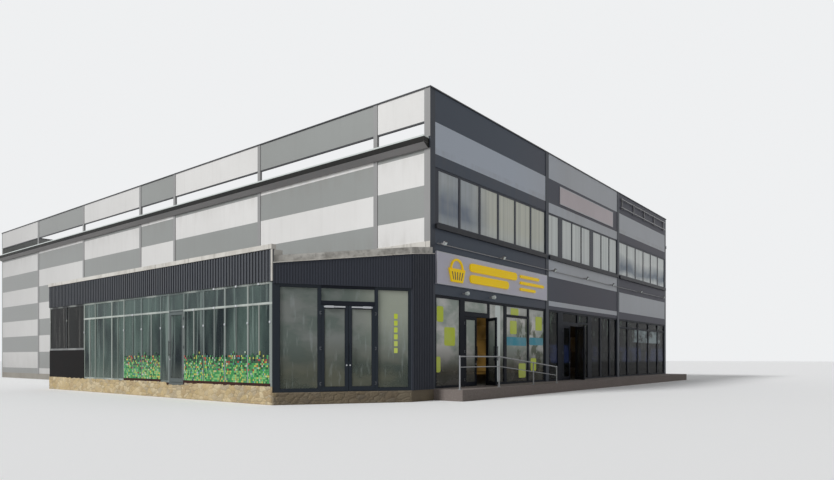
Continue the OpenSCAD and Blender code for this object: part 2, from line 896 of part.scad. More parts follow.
module extension_frames() {
    far = 1000;
    lap = 10;
    back = frame_y + slim_d;
    color(pale_c) site() extension_face() difference() {
        union() {
            block([0, frame_y, far_sill_z - far_rail], [glazing_start + lap, back, fascia_z]);
            for (r = sill_runs)
                block([r[0], frame_y, r[2]], [r[1], back, fascia_z]);
        }
        for (p = extension_lights)
            block([p[0], 0, p[2]], [p[1], wall_t, p[3]]);
    }
    color(pale_c) site() difference() {
        extension_face() block([glazing_end, frame_y, 0], [extension_len, back, fascia_z]);
        kiosk_face() block([0, -far, -1], [far, far, fascia_z + 1]);
    }
}

// Head and threshold of the extension's door
module extension_door_surround() {
    color(pale_c) site() extension_face() {
        pierced_frame(extension_door[0], extension_door[1], transom_z0, fascia_z, high_lights, slim_d);
        block([extension_door[0], beam_y[0], 0], [extension_door[1], beam_y[1], extension_door_foot]);
    }
}

module extension_glass() {
    pane_y = [40, 54];
    color([0.45, 0.62, 0.56, 0.5]) site() extension_face() for (p = extension_lights)
        block([p[0], pane_y[0], p[2]], [p[1], pane_y[1], p[3]]);
}

// Low boards that carry a mosaic of small squares, behind the glass of six modules
module extension_mosaic() {
    board_t = 6;
    board_top = 1080;
    inset = 30;
    front = frame_y + slim_d;
    color([0.25, 0.62, 0.35]) site() extension_face() for (k = mosaic_modules)
        block([module_x(k) + inset, front, sill_h], [module_x(k + 1) - inset, front + board_t, board_top]);
}

extension_leaf_w = extension_door[1] - extension_door[0] - 2 * leaf_gap;
extension_leaf_h = transom_z0 - extension_door_foot - 2 * leaf_foot;

module extension_door_place() {
    extension_face() translate([0, 0, extension_door_foot])
        right_hung(extension_door[1], 0) children();
}

module extension_leaf() {
    color(pale_c) site() extension_door_place() leaf_frame(extension_leaf_w, extension_leaf_h);
}
module extension_pane() {
    color(glass_c) site() extension_door_place() leaf_glass(extension_leaf_w, extension_leaf_h);
}

// The fixed halves of all the hinges
module door_hinges() {
    color(steel_c) site() {
        for (x = [entrance_x, second_x]) {
            left_hung(x, 0) hinge_posts(shop_leaf_h);
            right_hung(x + door_w, 0) hinge_posts(shop_leaf_h);
        }
        kiosk_face() left_hung(kiosk_door[0], 0) hinge_posts(kiosk_leaf_h);
        kiosk_face() right_hung(kiosk_door[1], 0) hinge_posts(kiosk_leaf_h);
        extension_door_place() hinge_posts(extension_leaf_h);
    }
}

// Plain wall at the far end of the lean-to, up to just above its roof
module annex_end_wall() {
    upstand = 60;
    inner_x = -annex_d + clad_t;
    glazing_x = -annex_d + frame_y + slim_d;
    sill_x = -annex_d + beam_y[1];
    color(dark_c) site() round_strips()
        translate([0, annex_end, 0]) rotate([90, 0, 0]) linear_extrude(end_wall_t)
            polygon([
                [sill_x, 0], [0, 0], [0, annex_high_z + upstand], [inner_x, annex_low_z + upstand],
                [inner_x, fascia_z], [glazing_x, fascia_z], [glazing_x, far_sill_z - far_rail],
                [sill_x, far_sill_z - far_rail]
            ]);
}

// Drip edge along the tops of the kiosk's fascia and pier
module kiosk_drip() {
    drip = 22;
    out = rib_out + 20;
    far = 1000;
    difference() {
        kiosk_face() translate([0, clad_t, 0]) rotate([90, 0, 0]) linear_extrude(clad_t + out)
            polygon([
                [0, annex_low_z], [kiosk_len, pier_low_z],
                [kiosk_len, pier_low_z + drip], [0, annex_low_z + drip]
            ]);
        block([-annex_d - far, annex_start, 0], [0, annex_start + far, top_z]);
        block([-kiosk_pier_w, -far, 0], [0, far, top_z]);
    }
    translate([-kiosk_pier_w, clad_t - pier_out, 0]) rotate([90, 0, 0]) linear_extrude(clad_t + out)
        polygon([
            [0, pier_low_z], [kiosk_pier_w, annex_high_z],
            [kiosk_pier_w, annex_high_z + drip], [0, pier_low_z + drip]
        ]);
}

// Pale sheet metal: the cap, corner strip and short return of the straight fascia, the drip edge of
// the kiosk and the flashing along the side wall
module annex_trim() {
    cap_h = 130;
    cap_out = 50;
    cap_in = 110;
    corner = 30;
    return_l = 300;
    return_t = 40;
    lift = 1;
    flash_t = 30;
    flash_h = [420, 150];
    flash_split = side_bays[0];
    inner_x = -annex_d + clad_t;
    inner_z = annex_low_z + clad_t * annex_slope + lift;
    color(sheet_c) site() {
        block([-annex_d - cap_out, annex_start - corner, fascia_top_z],
            [-annex_d + cap_in, annex_end, fascia_top_z + cap_h]);
        block([-annex_d - corner, annex_start - corner, fascia_z],
            [-annex_d, annex_start + corner, fascia_top_z]);
        translate([inner_x, annex_start + return_t, 0]) rotate([90, 0, 0]) linear_extrude(return_t)
            polygon([
                [0, inner_z], [return_l, inner_z + return_l * annex_slope],
                [return_l, fascia_top_z], [0, fascia_top_z]
            ]);
        round_strips() {
            block([-flash_t, 0, annex_high_z], [0, flash_split, annex_high_z + flash_h[0]]);
            block([-flash_t, flash_split, annex_high_z],
                [0, annex_end - end_wall_t, annex_high_z + flash_h[1]]);
        }
        kiosk_drip();
    }
}

ground_slab();
upper_floor();
roof();
rear_wall();
side_panels_light();
side_panels_grey();
side_strips();
gutters();
coping();
front_posts();
front_panels_dark();
front_panels_light();
front_ledge();
upper_frames();
upper_glass();
shop_frames();
door_heads();
shop_glass();
door_hinges();
sign_boards();
front_fittings();
annex_plinth();
annex_roof();
annex_trim();
annex_end_wall();
kiosk_cladding();
kiosk_frames();
extension_fascia();
extension_sill();
extension_frames();
extension_door_surround();
extension_glass();
extension_mosaic();
front_step();
handrail();
entrance_left_leaf();
entrance_left_pane();
entrance_right_leaf();
entrance_right_pane();
second_left_leaf();
second_left_pane();
second_right_leaf();
second_right_pane();
kiosk_left_leaf();
kiosk_left_pane();
kiosk_right_leaf();
kiosk_right_pane();
extension_leaf();
extension_pane();
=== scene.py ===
import json
import math
import random

import bmesh
import bpy
from mathutils import Matrix, Vector, noise


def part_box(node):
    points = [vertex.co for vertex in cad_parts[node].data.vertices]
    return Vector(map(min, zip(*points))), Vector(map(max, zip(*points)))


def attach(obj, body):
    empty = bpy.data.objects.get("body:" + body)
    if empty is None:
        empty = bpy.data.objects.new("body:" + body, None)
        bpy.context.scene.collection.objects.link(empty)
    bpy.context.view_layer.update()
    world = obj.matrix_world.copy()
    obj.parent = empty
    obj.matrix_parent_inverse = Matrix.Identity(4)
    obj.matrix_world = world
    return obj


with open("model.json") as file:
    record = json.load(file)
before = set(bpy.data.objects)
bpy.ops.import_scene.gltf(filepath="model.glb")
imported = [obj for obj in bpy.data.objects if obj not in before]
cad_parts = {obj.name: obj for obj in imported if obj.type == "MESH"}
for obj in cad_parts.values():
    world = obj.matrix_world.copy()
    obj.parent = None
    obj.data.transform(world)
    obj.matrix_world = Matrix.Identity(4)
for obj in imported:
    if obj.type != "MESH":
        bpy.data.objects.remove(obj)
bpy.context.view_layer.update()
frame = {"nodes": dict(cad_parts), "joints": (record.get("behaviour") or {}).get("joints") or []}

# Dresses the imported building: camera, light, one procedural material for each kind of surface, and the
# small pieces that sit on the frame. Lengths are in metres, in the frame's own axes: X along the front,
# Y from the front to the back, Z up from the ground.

NODES = frame["nodes"]
ROOT = "building"

# Places taken from the frame
slab_low, slab_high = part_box("ground_slab")
FRONT_CORNER = Vector((slab_low.x, slab_low.y, slab_high.z))  # the front's left end, at the shop floor
WIDTH = slab_high.x - slab_low.x
DEPTH = slab_high.y - slab_low.y
FLOOR_Z = slab_high.z

# The drawing's own frames, with z = 0 at the shop floor and -Y towards the street: the front, the kiosk's
# slanting front and the extension's long front, whose X runs from its far end
ANNEX_OUT = 4.42
ANNEX_START = 2.08
ANNEX_END = 16.9
ANNEX_LOW_Z = 3.56
ANNEX_SLOPE = 0.135
KIOSK_RUN = Vector((3.36, -2.21))
KIOSK_TURN = math.atan2(KIOSK_RUN.y, KIOSK_RUN.x)
FRONT = Matrix.Translation(FRONT_CORNER)
KIOSK = FRONT @ Matrix.Translation((-ANNEX_OUT, ANNEX_START, 0)) @ Matrix.Rotation(KIOSK_TURN, 4, "Z")
EXTENSION = FRONT @ Matrix.Translation((-ANNEX_OUT, ANNEX_END, 0)) @ Matrix.Rotation(-math.pi / 2, 4, "Z")

# Heights above the shop floor
DOOR_STONES_Z = 0.1
SILL_STONES_Z = 0.17
FAR_RAIL_Z = 1.33
CLAMP_Z = 1.95
TRANSOM_Z = 2.47
FASCIA_FOOT_Z = 3.04
BRACKET_LAMP_Z = 3.08
LEAN_TO_TOP_Z = 4.16
LAMP_PIPE_Z = 4.54
UPPER_SILL_Z = 5.15
HIGH_SIGNS_Z = 6.0
SOFFIT_Z = 7.46
GUTTER_RIM_Z = 7.755
GUTTER_TOP_Z = 7.8
ROOF_EAVE_Z = 7.82
WALL_TOP_Z = 9.33

BAY_WIDTH = 7.84
PANEL_HEIGHT = 1.0
SHEET_LENGTH = 2.0
MODULE_WIDTHS = [0.92, 1.33, 0.92, 1.26, 1.26, 1.41, 1.11, 1.11, 1.11, 1.01]
FAR_WINDOW_END = 3.26
MODULE_POSTS = [FAR_WINDOW_END + sum(MODULE_WIDTHS[:k]) for k in range(11)]
LOW_GROUP_END = MODULE_POSTS[3]
DOOR_SPAN = (9.475, 10.335)
MOSAIC_MODULES = (3, 4, 6, 7, 8, 9)


def srgb(r, g, b):
    """A colour as a picture shows it, from 0 to 255, as the linear values that a shader takes."""
    def linear(c):
        c = c / 255
        return c / 12.92 if c <= 0.04045 else ((c + 0.055) / 1.055) ** 2.4
    return linear(r), linear(g), linear(b), 1.0


# Materials

DULL = 0.2  # the sheen of the darkest sheets
# the white of a sky, painted into the shop panes as a reflection
REFLECTED_SKY_WHITE = srgb(255, 255, 252)


class Surface:
    """A Principled material with short helpers for its node tree. Textures lie in the frame's metres, and
    x, y and z are a point's place in the front's own frame."""

    def __init__(self, name, colour, roughness=0.5, sheen=0.5):
        self.material = bpy.data.materials.new(name)
        self.material.use_nodes = True
        self.tree = self.material.node_tree
        self.shader = self.tree.nodes["Principled BSDF"]
        self.shader.inputs["Roughness"].default_value = roughness
        self.shader.inputs["Specular IOR Level"].default_value = sheen
        self.place = self.node("TexCoord").outputs["Object"]
        self.x, self.y, self.z = self.parts(self.vector("SUBTRACT", self.place, FRONT_CORNER))
        self.colour = colour
        self.height = None

    def node(self, kind, **settings):
        """A new shader node with the given settings."""
        made = self.tree.nodes.new("ShaderNode" + kind)
        for key, value in settings.items():
            setattr(made, key, value)
        return made

    def plug(self, node, name, value):
        """Links a socket to a node's input, or sets a plain value there."""
        if isinstance(value, bpy.types.NodeSocket):
            self.tree.links.new(value, node.inputs[name])
        else:
            node.inputs[name].default_value = value

    def vector(self, operation, a, b):
        made = self.node("VectorMath", operation=operation)
        self.plug(made, 0, a)
        self.plug(made, 1, b)
        return made.outputs[0]

    def parts(self, vector):
        made = self.node("SeparateXYZ")
        self.plug(made, 0, vector)
        return made.outputs

    def math(self, operation, a, b=0.0):
        made = self.node("Math", operation=operation)
        self.plug(made, 0, a)
        self.plug(made, 1, b)
        return made.outputs[0]

    def product(self, first, *others):
        for other in others:
            first = self.math("MULTIPLY", first, other)
        return first

    def above(self, value, limit):
        return self.math("GREATER_THAN", value, limit)

    def below(self, value, limit):
        return self.math("LESS_THAN", value, limit)

    def within(self, value, low, high):
        """1 between two values, 0 outside."""
        return self.product(self.above(value, low), self.below(value, high))

    def ramp(self, value, low, high, reverse=False):
        """0 below low and 1 above high, or the other way round."""
        made = self.node("MapRange")
        self.plug(made, "Value", value)
        made.inputs["From Min"].default_value = low
        made.inputs["From Max"].default_value = high
        made.inputs["To Min"].default_value = 1.0 if reverse else 0.0
        made.inputs["To Max"].default_value = 0.0 if reverse else 1.0
        return made.outputs["Result"]

    def noise(self, scale, detail, stretch=None):
        """Soft noise, finer along an axis that is stretched by more."""
        made = self.node("TexNoise")
        self.plug(made, "Vector", self.vector("MULTIPLY", self.place, stretch) if stretch else self.place)
        self.plug(made, "Scale", scale)
        self.plug(made, "Detail", detail)
        self.plug(made, "Roughness", 0.55)
        return made.outputs["Fac"]

    def patches(self, scale, detail, low, high, stretch=None):
        """Noise as patches: 0 where it is below low, 1 where it is above high."""
        return self.ramp(self.noise(scale, detail, stretch), low, high)

    def cells(self, scale):
        made = self.node("TexVoronoi")
        self.plug(made, "Vector", self.place)
        self.plug(made, "Scale", scale)
        return made.outputs["Distance"]

    def tint(self, mask, colour, amount=1.0):
        """Lays a colour over the surface's own where the mask is 1, by the given amount. The mix node's
        colours are its inputs 6 and 7 and its output 2."""
        made = self.node("Mix", data_type="RGBA")
        self.plug(made, "Factor", self.product(mask, amount))
        self.plug(made, 6, self.colour)
        self.plug(made, 7, colour)
        self.colour = made.outputs[2]

    def glow(self, colour, strength):
        self.shader.inputs["Emission Color"].default_value = colour
        self.plug(self.shader, "Emission Strength", strength)

    def raise_by(self, height):
        self.height = height if self.height is None else self.math("ADD", self.height, height)

    def finish(self, bump=0.0, roughness=None):
        self.plug(self.shader, "Base Color", self.colour)
        if self.height is not None:
            made = self.node("Bump")
            self.plug(made, "Height", self.height)
            made.inputs["Strength"].default_value = 1.0
            made.inputs["Distance"].default_value = bump
            self.plug(self.shader, "Normal", made.outputs[0])
        if roughness is not None:
            self.plug(self.shader, "Roughness", roughness)
        return self.material


def weathered(s, mottle, streaks):
    """Large soft patches and vertical rain streaks, as on painted sheet."""
    dirt = srgb(95, 88, 78)
    s.tint(s.patches(0.35, 5.0, 0.35, 0.7), dirt, mottle)
    s.tint(s.patches(1.0, 3.0, 0.52, 0.8, (5.0, 5.0, 0.35)), dirt, streaks)
    return s


def sooty_foot(s):
    """Soot in patches low on a wall."""
    s.tint(s.product(s.ramp(s.z, 0.0, 1.4, reverse=True), s.noise(1.6, 5.0)), srgb(105, 97, 86), 0.45)


def sheet_paint(name, colour, roughness=0.45, mottle=0.10, streaks=0.12, sheen=0.5):
    """Painted or bare metal with a fine grain and an uneven gloss."""
    s = weathered(Surface(name, colour, roughness, sheen), mottle, streaks)
    s.raise_by(s.noise(60.0, 2.0))
    rough = s.math("ADD", s.product(s.noise(3.0, 4.0), 0.2), roughness - 0.1)
    return s.finish(bump=0.001, roughness=rough)


def painted_interior_glow(s):
    """Painted light: a dim warm glow given off by the faces deep inside the shop floor, which are no lamps,
    as seen through the open doors.
    """
    inside = s.product(s.within(s.x, 14.0, WIDTH - 0.1), s.within(s.y, 8.0, DEPTH - 0.1))
    inside = s.product(inside, s.within(s.z, -0.01, 3.9))
    s.glow(srgb(84, 64, 30), s.product(inside, s.patches(0.7, 2.0, 0.3, 0.7)))


def wall_panel(name, colour, sheen=0.5, bluer=None):
    """Flat sandwich panels, sooty near the ground, streaked under the gutter and over the lean-to, greyer
    towards the back, and darkened with painted shade where the extension covers them. The front's left bay
    can take a bluer tone."""
    s = weathered(Surface(name, colour, 0.5, sheen), 0.08, 0.06)
    if bluer:
        s.tint(s.ramp(s.x, 5.0, 10.0, reverse=True), bluer)
    sooty_foot(s)
    grime = srgb(118, 104, 88)
    drips = s.patches(1.0, 4.0, 0.4, 0.75, (3.0, 3.0, 0.5))
    by_lean_to = s.product(s.below(s.x, 0.05), s.below(s.y, ANNEX_END))
    splashed = s.product(s.ramp(s.z, LEAN_TO_TOP_Z - 0.5, LEAN_TO_TOP_Z - 0.4),
                         s.ramp(s.z, LEAN_TO_TOP_Z, LEAN_TO_TOP_Z + 1.0, reverse=True))
    s.tint(s.product(by_lean_to, splashed, drips), grime, 0.4)
    under_gutter = s.product(s.ramp(s.z, SOFFIT_Z - 0.7, SOFFIT_Z),
                             s.ramp(s.z, SOFFIT_Z + 0.05, SOFFIT_Z + 0.1, reverse=True))
    s.tint(s.product(under_gutter, drips), grime, 0.22)
    s.tint(s.ramp(s.y, 12.0, DEPTH), srgb(146, 146, 146), 0.45)
    # painted shade: the wall under the lean-to's roof is darkened for the shade inside the extension
    painted_shade_in_lean_to = s.product(by_lean_to, s.above(s.y, ANNEX_START), s.below(s.z, ANNEX_LOW_Z + 0.4))
    s.tint(painted_shade_in_lean_to, srgb(62, 66, 62), 0.85)
    # painted light: a warm glow on the faces deep inside the shop
    painted_interior_glow(s)
    s.raise_by(s.noise(0.9, 2.0))
    return s.finish(bump=0.004)


def rear_panels(name, grey, light, cover):
    """The end wall repeats the sides: rows of light and grey panels that change at each cover strip."""
    s = Surface(name, grey)
    outer = s.above(s.y, DEPTH - 0.05)
    row = s.math("DIVIDE", s.math("SUBTRACT", WALL_TOP_Z, s.z), PANEL_HEIGHT)
    bay = s.math("DIVIDE", s.x, BAY_WIDTH)
    odd = s.math("MODULO", s.math("ADD", s.math("FLOOR", row), s.math("FLOOR", bay)), 2.0)
    s.tint(s.product(outer, odd), light)
    s.tint(s.product(outer, s.below(s.math("PINGPONG", s.x, BAY_WIDTH / 2), 0.08)), cover)
    weathered(s, 0.2, 0.2)
    sooty_foot(s)
    # painted light: a warm glow on the faces deep inside the shop
    painted_interior_glow(s)
    s.raise_by(s.product(s.below(s.math("FRACT", row), 0.01), -1.0))
    s.raise_by(s.product(s.noise(0.9, 2.0), 0.5))
    return s.finish(bump=0.004)


def trim_sheet(name, colour):
    """Pale sheet trim with a lapped joint at each sheet's end and dirt that runs down from it."""
    s = weathered(Surface(name, colour, 0.45), 0.25, 0.4)
    sheets = s.math("DIVIDE", s.parts(s.place)["Y"], SHEET_LENGTH)
    lap = s.below(s.math("FRACT", sheets), 0.01)
    s.tint(lap, srgb(92, 86, 78), 0.5)
    s.raise_by(s.product(lap, -1.0))
    s.tint(s.patches(2.2, 5.0, 0.5, 0.75), srgb(120, 104, 84), 0.3)
    return s.finish(bump=0.004)


def gutter_sheet(name):
    """Near-black gutter face with a painted highlight along its rim, and painted light on the soffit, whose
    downward faces are painted paler.
    """
    s = weathered(Surface(name, srgb(22, 24, 24), sheen=DULL), 0.1, 0.1)
    facing = s.parts(s.node("NewGeometry").outputs["Normal"])["Z"]
    # painted light: faces that point down are painted paler than the gutter's face
    s.tint(s.below(facing, -0.2), srgb(158, 156, 156))
    # painted highlight: a bright line along the gutter's rim
    s.tint(s.above(s.z, GUTTER_RIM_Z), srgb(216, 222, 220))
    s.raise_by(s.noise(20.0, 3.0))
    return s.finish(bump=0.001)


def edge_sheet(name):
    """A dirty pale sheet edge."""
    s = weathered(Surface(name, srgb(214, 212, 206), 0.6), 0.3, 0.3)
    s.tint(s.patches(2.4, 6.0, 0.42, 0.62), srgb(104, 100, 94), 0.5)
    s.tint(s.patches(9.0, 5.0, 0.5, 0.7), srgb(70, 66, 62), 0.4)
    s.raise_by(s.noise(6.0, 5.0))
    return s.finish(bump=0.01)


def extension_distance(s):
    """How far a point lies along the extension from its far end."""
    return s.math("SUBTRACT", ANNEX_END, s.y)


def clear_finish(s, alpha, ior=1.35):
    """Ends a pane's material: faintly uneven, and as solid as alpha says."""
    s.raise_by(s.noise(0.8, 1.0))
    s.shader.inputs["IOR"].default_value = ior
    s.shader.inputs["Alpha"].default_value = alpha
    return s.finish(bump=0.002)


def streaked_glass(name):
    """The extension's greenish panes: pale streaks of dirt, and far windows painted near black as painted
    shade for the dark room behind them.
    """
    s = Surface(name, srgb(34, 44, 48), 0.08, 0.35)
    s.tint(s.patches(1.0, 3.0, 0.35, 0.62, (0.9, 0.9, 0.3)), srgb(104, 126, 118), 0.7)
    streaks = s.patches(1.0, 4.0, 0.54, 0.66, (6.0, 6.0, 0.25))
    s.tint(streaks, srgb(164, 180, 174), 0.5)
    s.tint(s.ramp(s.z, 0.2, 0.9, reverse=True), srgb(150, 158, 148), 0.3)
    s.tint(s.above(s.z, TRANSOM_Z), srgb(120, 132, 132), 0.25)
    # painted shade: the far window's panes are painted near black for the dark room behind them
    far = s.below(extension_distance(s), FAR_WINDOW_END)
    s.tint(far, srgb(14, 11, 12), 0.92)
    s.tint(s.product(far, streaks), srgb(120, 118, 114), 0.35)
    return clear_finish(s, 0.72, 1.2)


def shop_glass(name):
    """The shop's and the kiosk's panes, with painted reflections. The left bay's show a painted bright sky
    with clouds, a pale upright and dark trees; the others are dark with painted glints, pale painted sky high
    up on the right bay and painted blue patches low down, and the kiosk's are greenish with painted glints
    and paler at their right end."""
    s = Surface(name, srgb(10, 15, 17), 0.05, 0.3)
    clouds = s.noise(0.9, 4.0, (1.0, 1.0, 1.8))
    # painted reflection: glints on the panes, stronger higher up
    glints = s.patches(1.0, 4.0, 0.58, 0.7, (7.0, 7.0, 1.2))
    stronger_above = s.math("ADD", s.product(s.ramp(s.z, 1.0, 2.7), 0.6), 0.12)
    s.tint(s.product(glints, stronger_above), srgb(158, 182, 166))
    # painted reflection: pale sky high up on the right bay's panes
    pale_sky_reflection = s.product(s.within(s.z, 1.8, 2.5), s.within(s.x, 18.0, 22.6), s.ramp(clouds, 0.35, 0.55))
    s.tint(pale_sky_reflection, srgb(176, 194, 198))
    # painted reflection: blue patches low down
    blue = s.product(s.within(s.z, 0.75, 1.5), s.patches(0.7, 3.0, 0.46, 0.56))
    s.tint(blue, srgb(52, 68, 118), 0.7)

    left = s.below(s.x, BAY_WIDTH)
    low = s.ramp(s.z, 0.5, 1.5, reverse=True)
    # painted reflection: the left bay's panes mirror a bright sky with white clouds, a pale upright and dark
    # trees
    s.tint(left, srgb(194, 206, 198))
    s.tint(s.product(left, s.ramp(clouds, 0.42, 0.6)), REFLECTED_SKY_WHITE, 0.9)
    sky = s.product(s.ramp(s.x, 4.3, 4.6), s.ramp(s.z, 1.7, 2.5), 0.5)
    upright = s.product(s.within(s.x, 3.86, 4.28), s.ramp(s.z, 1.0, 1.5), 0.8)
    s.tint(s.product(left, s.math("ADD", sky, upright)), REFLECTED_SKY_WHITE)
    tree_reflection = s.product(s.patches(2.4, 6.0, 0.5, 0.58, (1.0, 1.0, 0.8)), s.ramp(s.x, 4.8, 5.8))
    tree_reflection = s.product(tree_reflection, s.ramp(s.z, 2.2, 2.9, reverse=True))
    s.tint(s.product(left, tree_reflection), srgb(78, 98, 62), 0.75)
    s.tint(s.product(left, low), srgb(58, 50, 38), 0.85)

    kiosk = s.below(s.x, -0.5)
    s.tint(kiosk, srgb(84, 97, 92), 0.75)
    right_end = s.product(kiosk, s.ramp(s.x, -2.6, -1.6), s.ramp(s.z, 0.8, 2.2))
    s.tint(right_end, srgb(202, 208, 192), 0.8)
    s.tint(s.product(kiosk, low, s.ramp(clouds, 0.3, 0.6)), srgb(142, 140, 118), 0.45)
    # painted reflection: glints on the kiosk's panes
    s.tint(s.product(kiosk, glints), srgb(196, 206, 206), 0.3)
    return clear_finish(s, 0.7, 1.2)


def sky_glass(name):
    """The upper panes: pale olive-grey on the left bay, with a painted reflection at its corner that is cool
    with a dark blue middle, cooler on the others, with a painted wavy blue band of reflected sky low on the
    right bay's and pale painted cloud reflections on all. Fine upright folds run down them all."""
    s = Surface(name, srgb(232, 234, 220), 0.05)
    up = s.math("SUBTRACT", s.z, UPPER_SILL_Z)
    s.tint(s.ramp(up, 0.01, 0.61, reverse=True), srgb(232, 240, 240), 0.7)
    cloud = s.noise(0.55, 3.0)
    # painted reflection: a cool tone with a dark blue middle at the left bay's corner
    at_corner = s.ramp(s.x, 2.2, 3.6, reverse=True)
    s.tint(at_corner, srgb(186, 196, 208), 0.8)
    middle = s.product(s.ramp(up, 0.81, 1.41, reverse=True), s.ramp(up, 0.11, 0.41))
    s.tint(s.product(at_corner, middle, s.ramp(cloud, 0.3, 0.5)), srgb(92, 112, 142), 0.75)
    s.tint(s.ramp(s.x, BAY_WIDTH - 0.44, BAY_WIDTH + 0.36), srgb(246, 254, 255), 0.75)
    s.tint(s.patches(1.0, 2.0, 0.45, 0.62, (8.0, 8.0, 0.04)), srgb(160, 166, 162), 0.3)
    # painted reflection: a wavy blue band of sky low on the right bay's panes
    wavy = s.math("ADD", up, s.product(s.math("SUBTRACT", cloud, 0.5), 0.9))
    band = s.product(s.ramp(wavy, 0.11, 0.36), s.ramp(wavy, 0.51, 1.11, reverse=True))
    s.tint(s.product(band, s.above(s.x, 2 * BAY_WIDTH)), srgb(74, 102, 128), 0.9)
    # painted reflection: pale clouds
    s.tint(s.ramp(cloud, 0.45, 0.7), srgb(246, 248, 244), 0.25)
    return clear_finish(s, 0.84)


def concrete(name, colour):
    """Cast concrete with stains, pale grains and a rough face."""
    s = Surface(name, colour, 0.85)
    s.tint(s.patches(0.8, 6.0, 0.4, 0.7), srgb(105, 100, 92), 0.35)
    s.tint(s.patches(25.0, 3.0, 0.5, 0.7), srgb(180, 176, 168), 0.2)
    # painted light: a warm glow on the faces deep inside the shop
    painted_interior_glow(s)
    s.raise_by(s.noise(18.0, 6.0))
    return s.finish(bump=0.006)


def stone(name, colour):
    """One tone of the plinth's rough stones. Along the kiosk they are darker, as painted shade."""
    s = Surface(name, colour, 0.9)
    s.tint(s.patches(5.0, 6.0, 0.4, 0.7), srgb(150, 132, 100), 0.4)
    s.tint(s.patches(34.0, 4.0, 0.5, 0.7), srgb(222, 208, 176), 0.4)
    s.tint(s.patches(1.1, 4.0, 0.45, 0.65), srgb(214, 194, 152), 0.5)
    # painted shade: the stones along the kiosk's front are darkened
    painted_shade_by_kiosk = s.ramp(s.y, ANNEX_START - 0.1, ANNEX_START + 0.1, reverse=True)
    s.tint(painted_shade_by_kiosk, srgb(88, 80, 70), 0.8)
    s.raise_by(s.noise(30.0, 6.0))
    return s.finish(bump=0.008)


def pale_frames(name):
    """The extension's frames: weathered green-grey, whiter on the far group, dark round the far window."""
    s = weathered(Surface(name, srgb(104, 116, 114)), 0.2, 0.3)
    bare = srgb(206, 212, 206)
    along = extension_distance(s)
    far = s.below(along, FAR_WINDOW_END - 0.03)
    s.tint(s.below(along, LOW_GROUP_END + 0.03), srgb(180, 190, 178), 0.3)
    s.tint(far, srgb(34, 36, 40), 0.95)
    s.tint(s.patches(1.0, 0.0, 0.45, 0.6, (1.3, 1.3, 0.02)), bare, 0.45)
    s.tint(s.within(s.z, TRANSOM_Z - 0.03, TRANSOM_Z + 0.03), bare, 0.5)
    far_rail = s.product(far, s.within(s.z, FAR_RAIL_Z - 0.07, FAR_RAIL_Z + 0.02))
    s.tint(far_rail, srgb(132, 134, 134), 0.7)
    s.raise_by(s.noise(30.0, 3.0))
    return s.finish(bump=0.001)


def sill_paint(name):
    """The dark sill beam: red-brown rust along it, near black on the panel under the far window."""
    s = Surface(name, srgb(62, 36, 32), 0.75, 0.15)
    s.tint(s.patches(3.0, 5.0, 0.45, 0.65), srgb(28, 26, 28), 0.7)
    s.tint(s.below(extension_distance(s), FAR_WINDOW_END - 0.01), srgb(20, 20, 20), 0.95)
    s.raise_by(s.noise(14.0, 5.0))
    return s.finish(bump=0.004)


def sign_sheet(name):
    """Bare sign boards: lavender-grey below, pinkish grey for the high one."""
    s = Surface(name, srgb(204, 203, 218), 0.35)
    s.tint(s.above(s.z, HIGH_SIGNS_Z), srgb(196, 184, 188))
    s.tint(s.patches(0.7, 5.0, 0.4, 0.75), srgb(150, 140, 140), 0.25)
    s.raise_by(s.noise(1.2, 2.0))
    return s.finish(bump=0.006)


def blind_fabric(name, colour):
    """Woven cloth slats with fine upright threads."""
    s = Surface(name, colour, 0.9)
    threads = s.noise(1.0, 2.0, (260.0, 260.0, 12.0))
    s.tint(threads, srgb(120, 120, 108), 0.2)
    s.tint(s.noise(1.2, 3.0), srgb(120, 116, 100), 0.15)
    s.raise_by(threads)
    return s.finish(bump=0.001)


def film(name, colour):
    """Printed film on the outer face of a pane, slightly faded in patches."""
    s = Surface(name, colour)
    s.tint(s.patches(1.4, 4.0, 0.4, 0.7), srgb(225, 225, 215), 0.18)
    s.raise_by(s.noise(3.0, 2.0))
    return s.finish(bump=0.001)


def painted_glow_letters(name, colour):
    """Sign plastic with a faint painted glow in its own colour."""
    s = weathered(Surface(name, colour, 0.4, DULL), 0.04, 0.04)
    # painted light: the sign plastic glows faintly
    s.glow(colour, 0.16)
    s.raise_by(s.noise(60.0, 2.0))
    return s.finish(bump=0.001)


def tile_glaze(name, colour):
    """Glazed tile, darker in small cells and dulled in patches."""
    s = Surface(name, colour, 0.2)
    s.tint(s.cells(19.0), srgb(30, 50, 34), 0.25)
    s.tint(s.patches(3.0, 5.0, 0.5, 0.75), srgb(150, 150, 130), 0.25)
    s.raise_by(s.noise(40.0, 2.0))
    return s.finish(bump=0.0015)


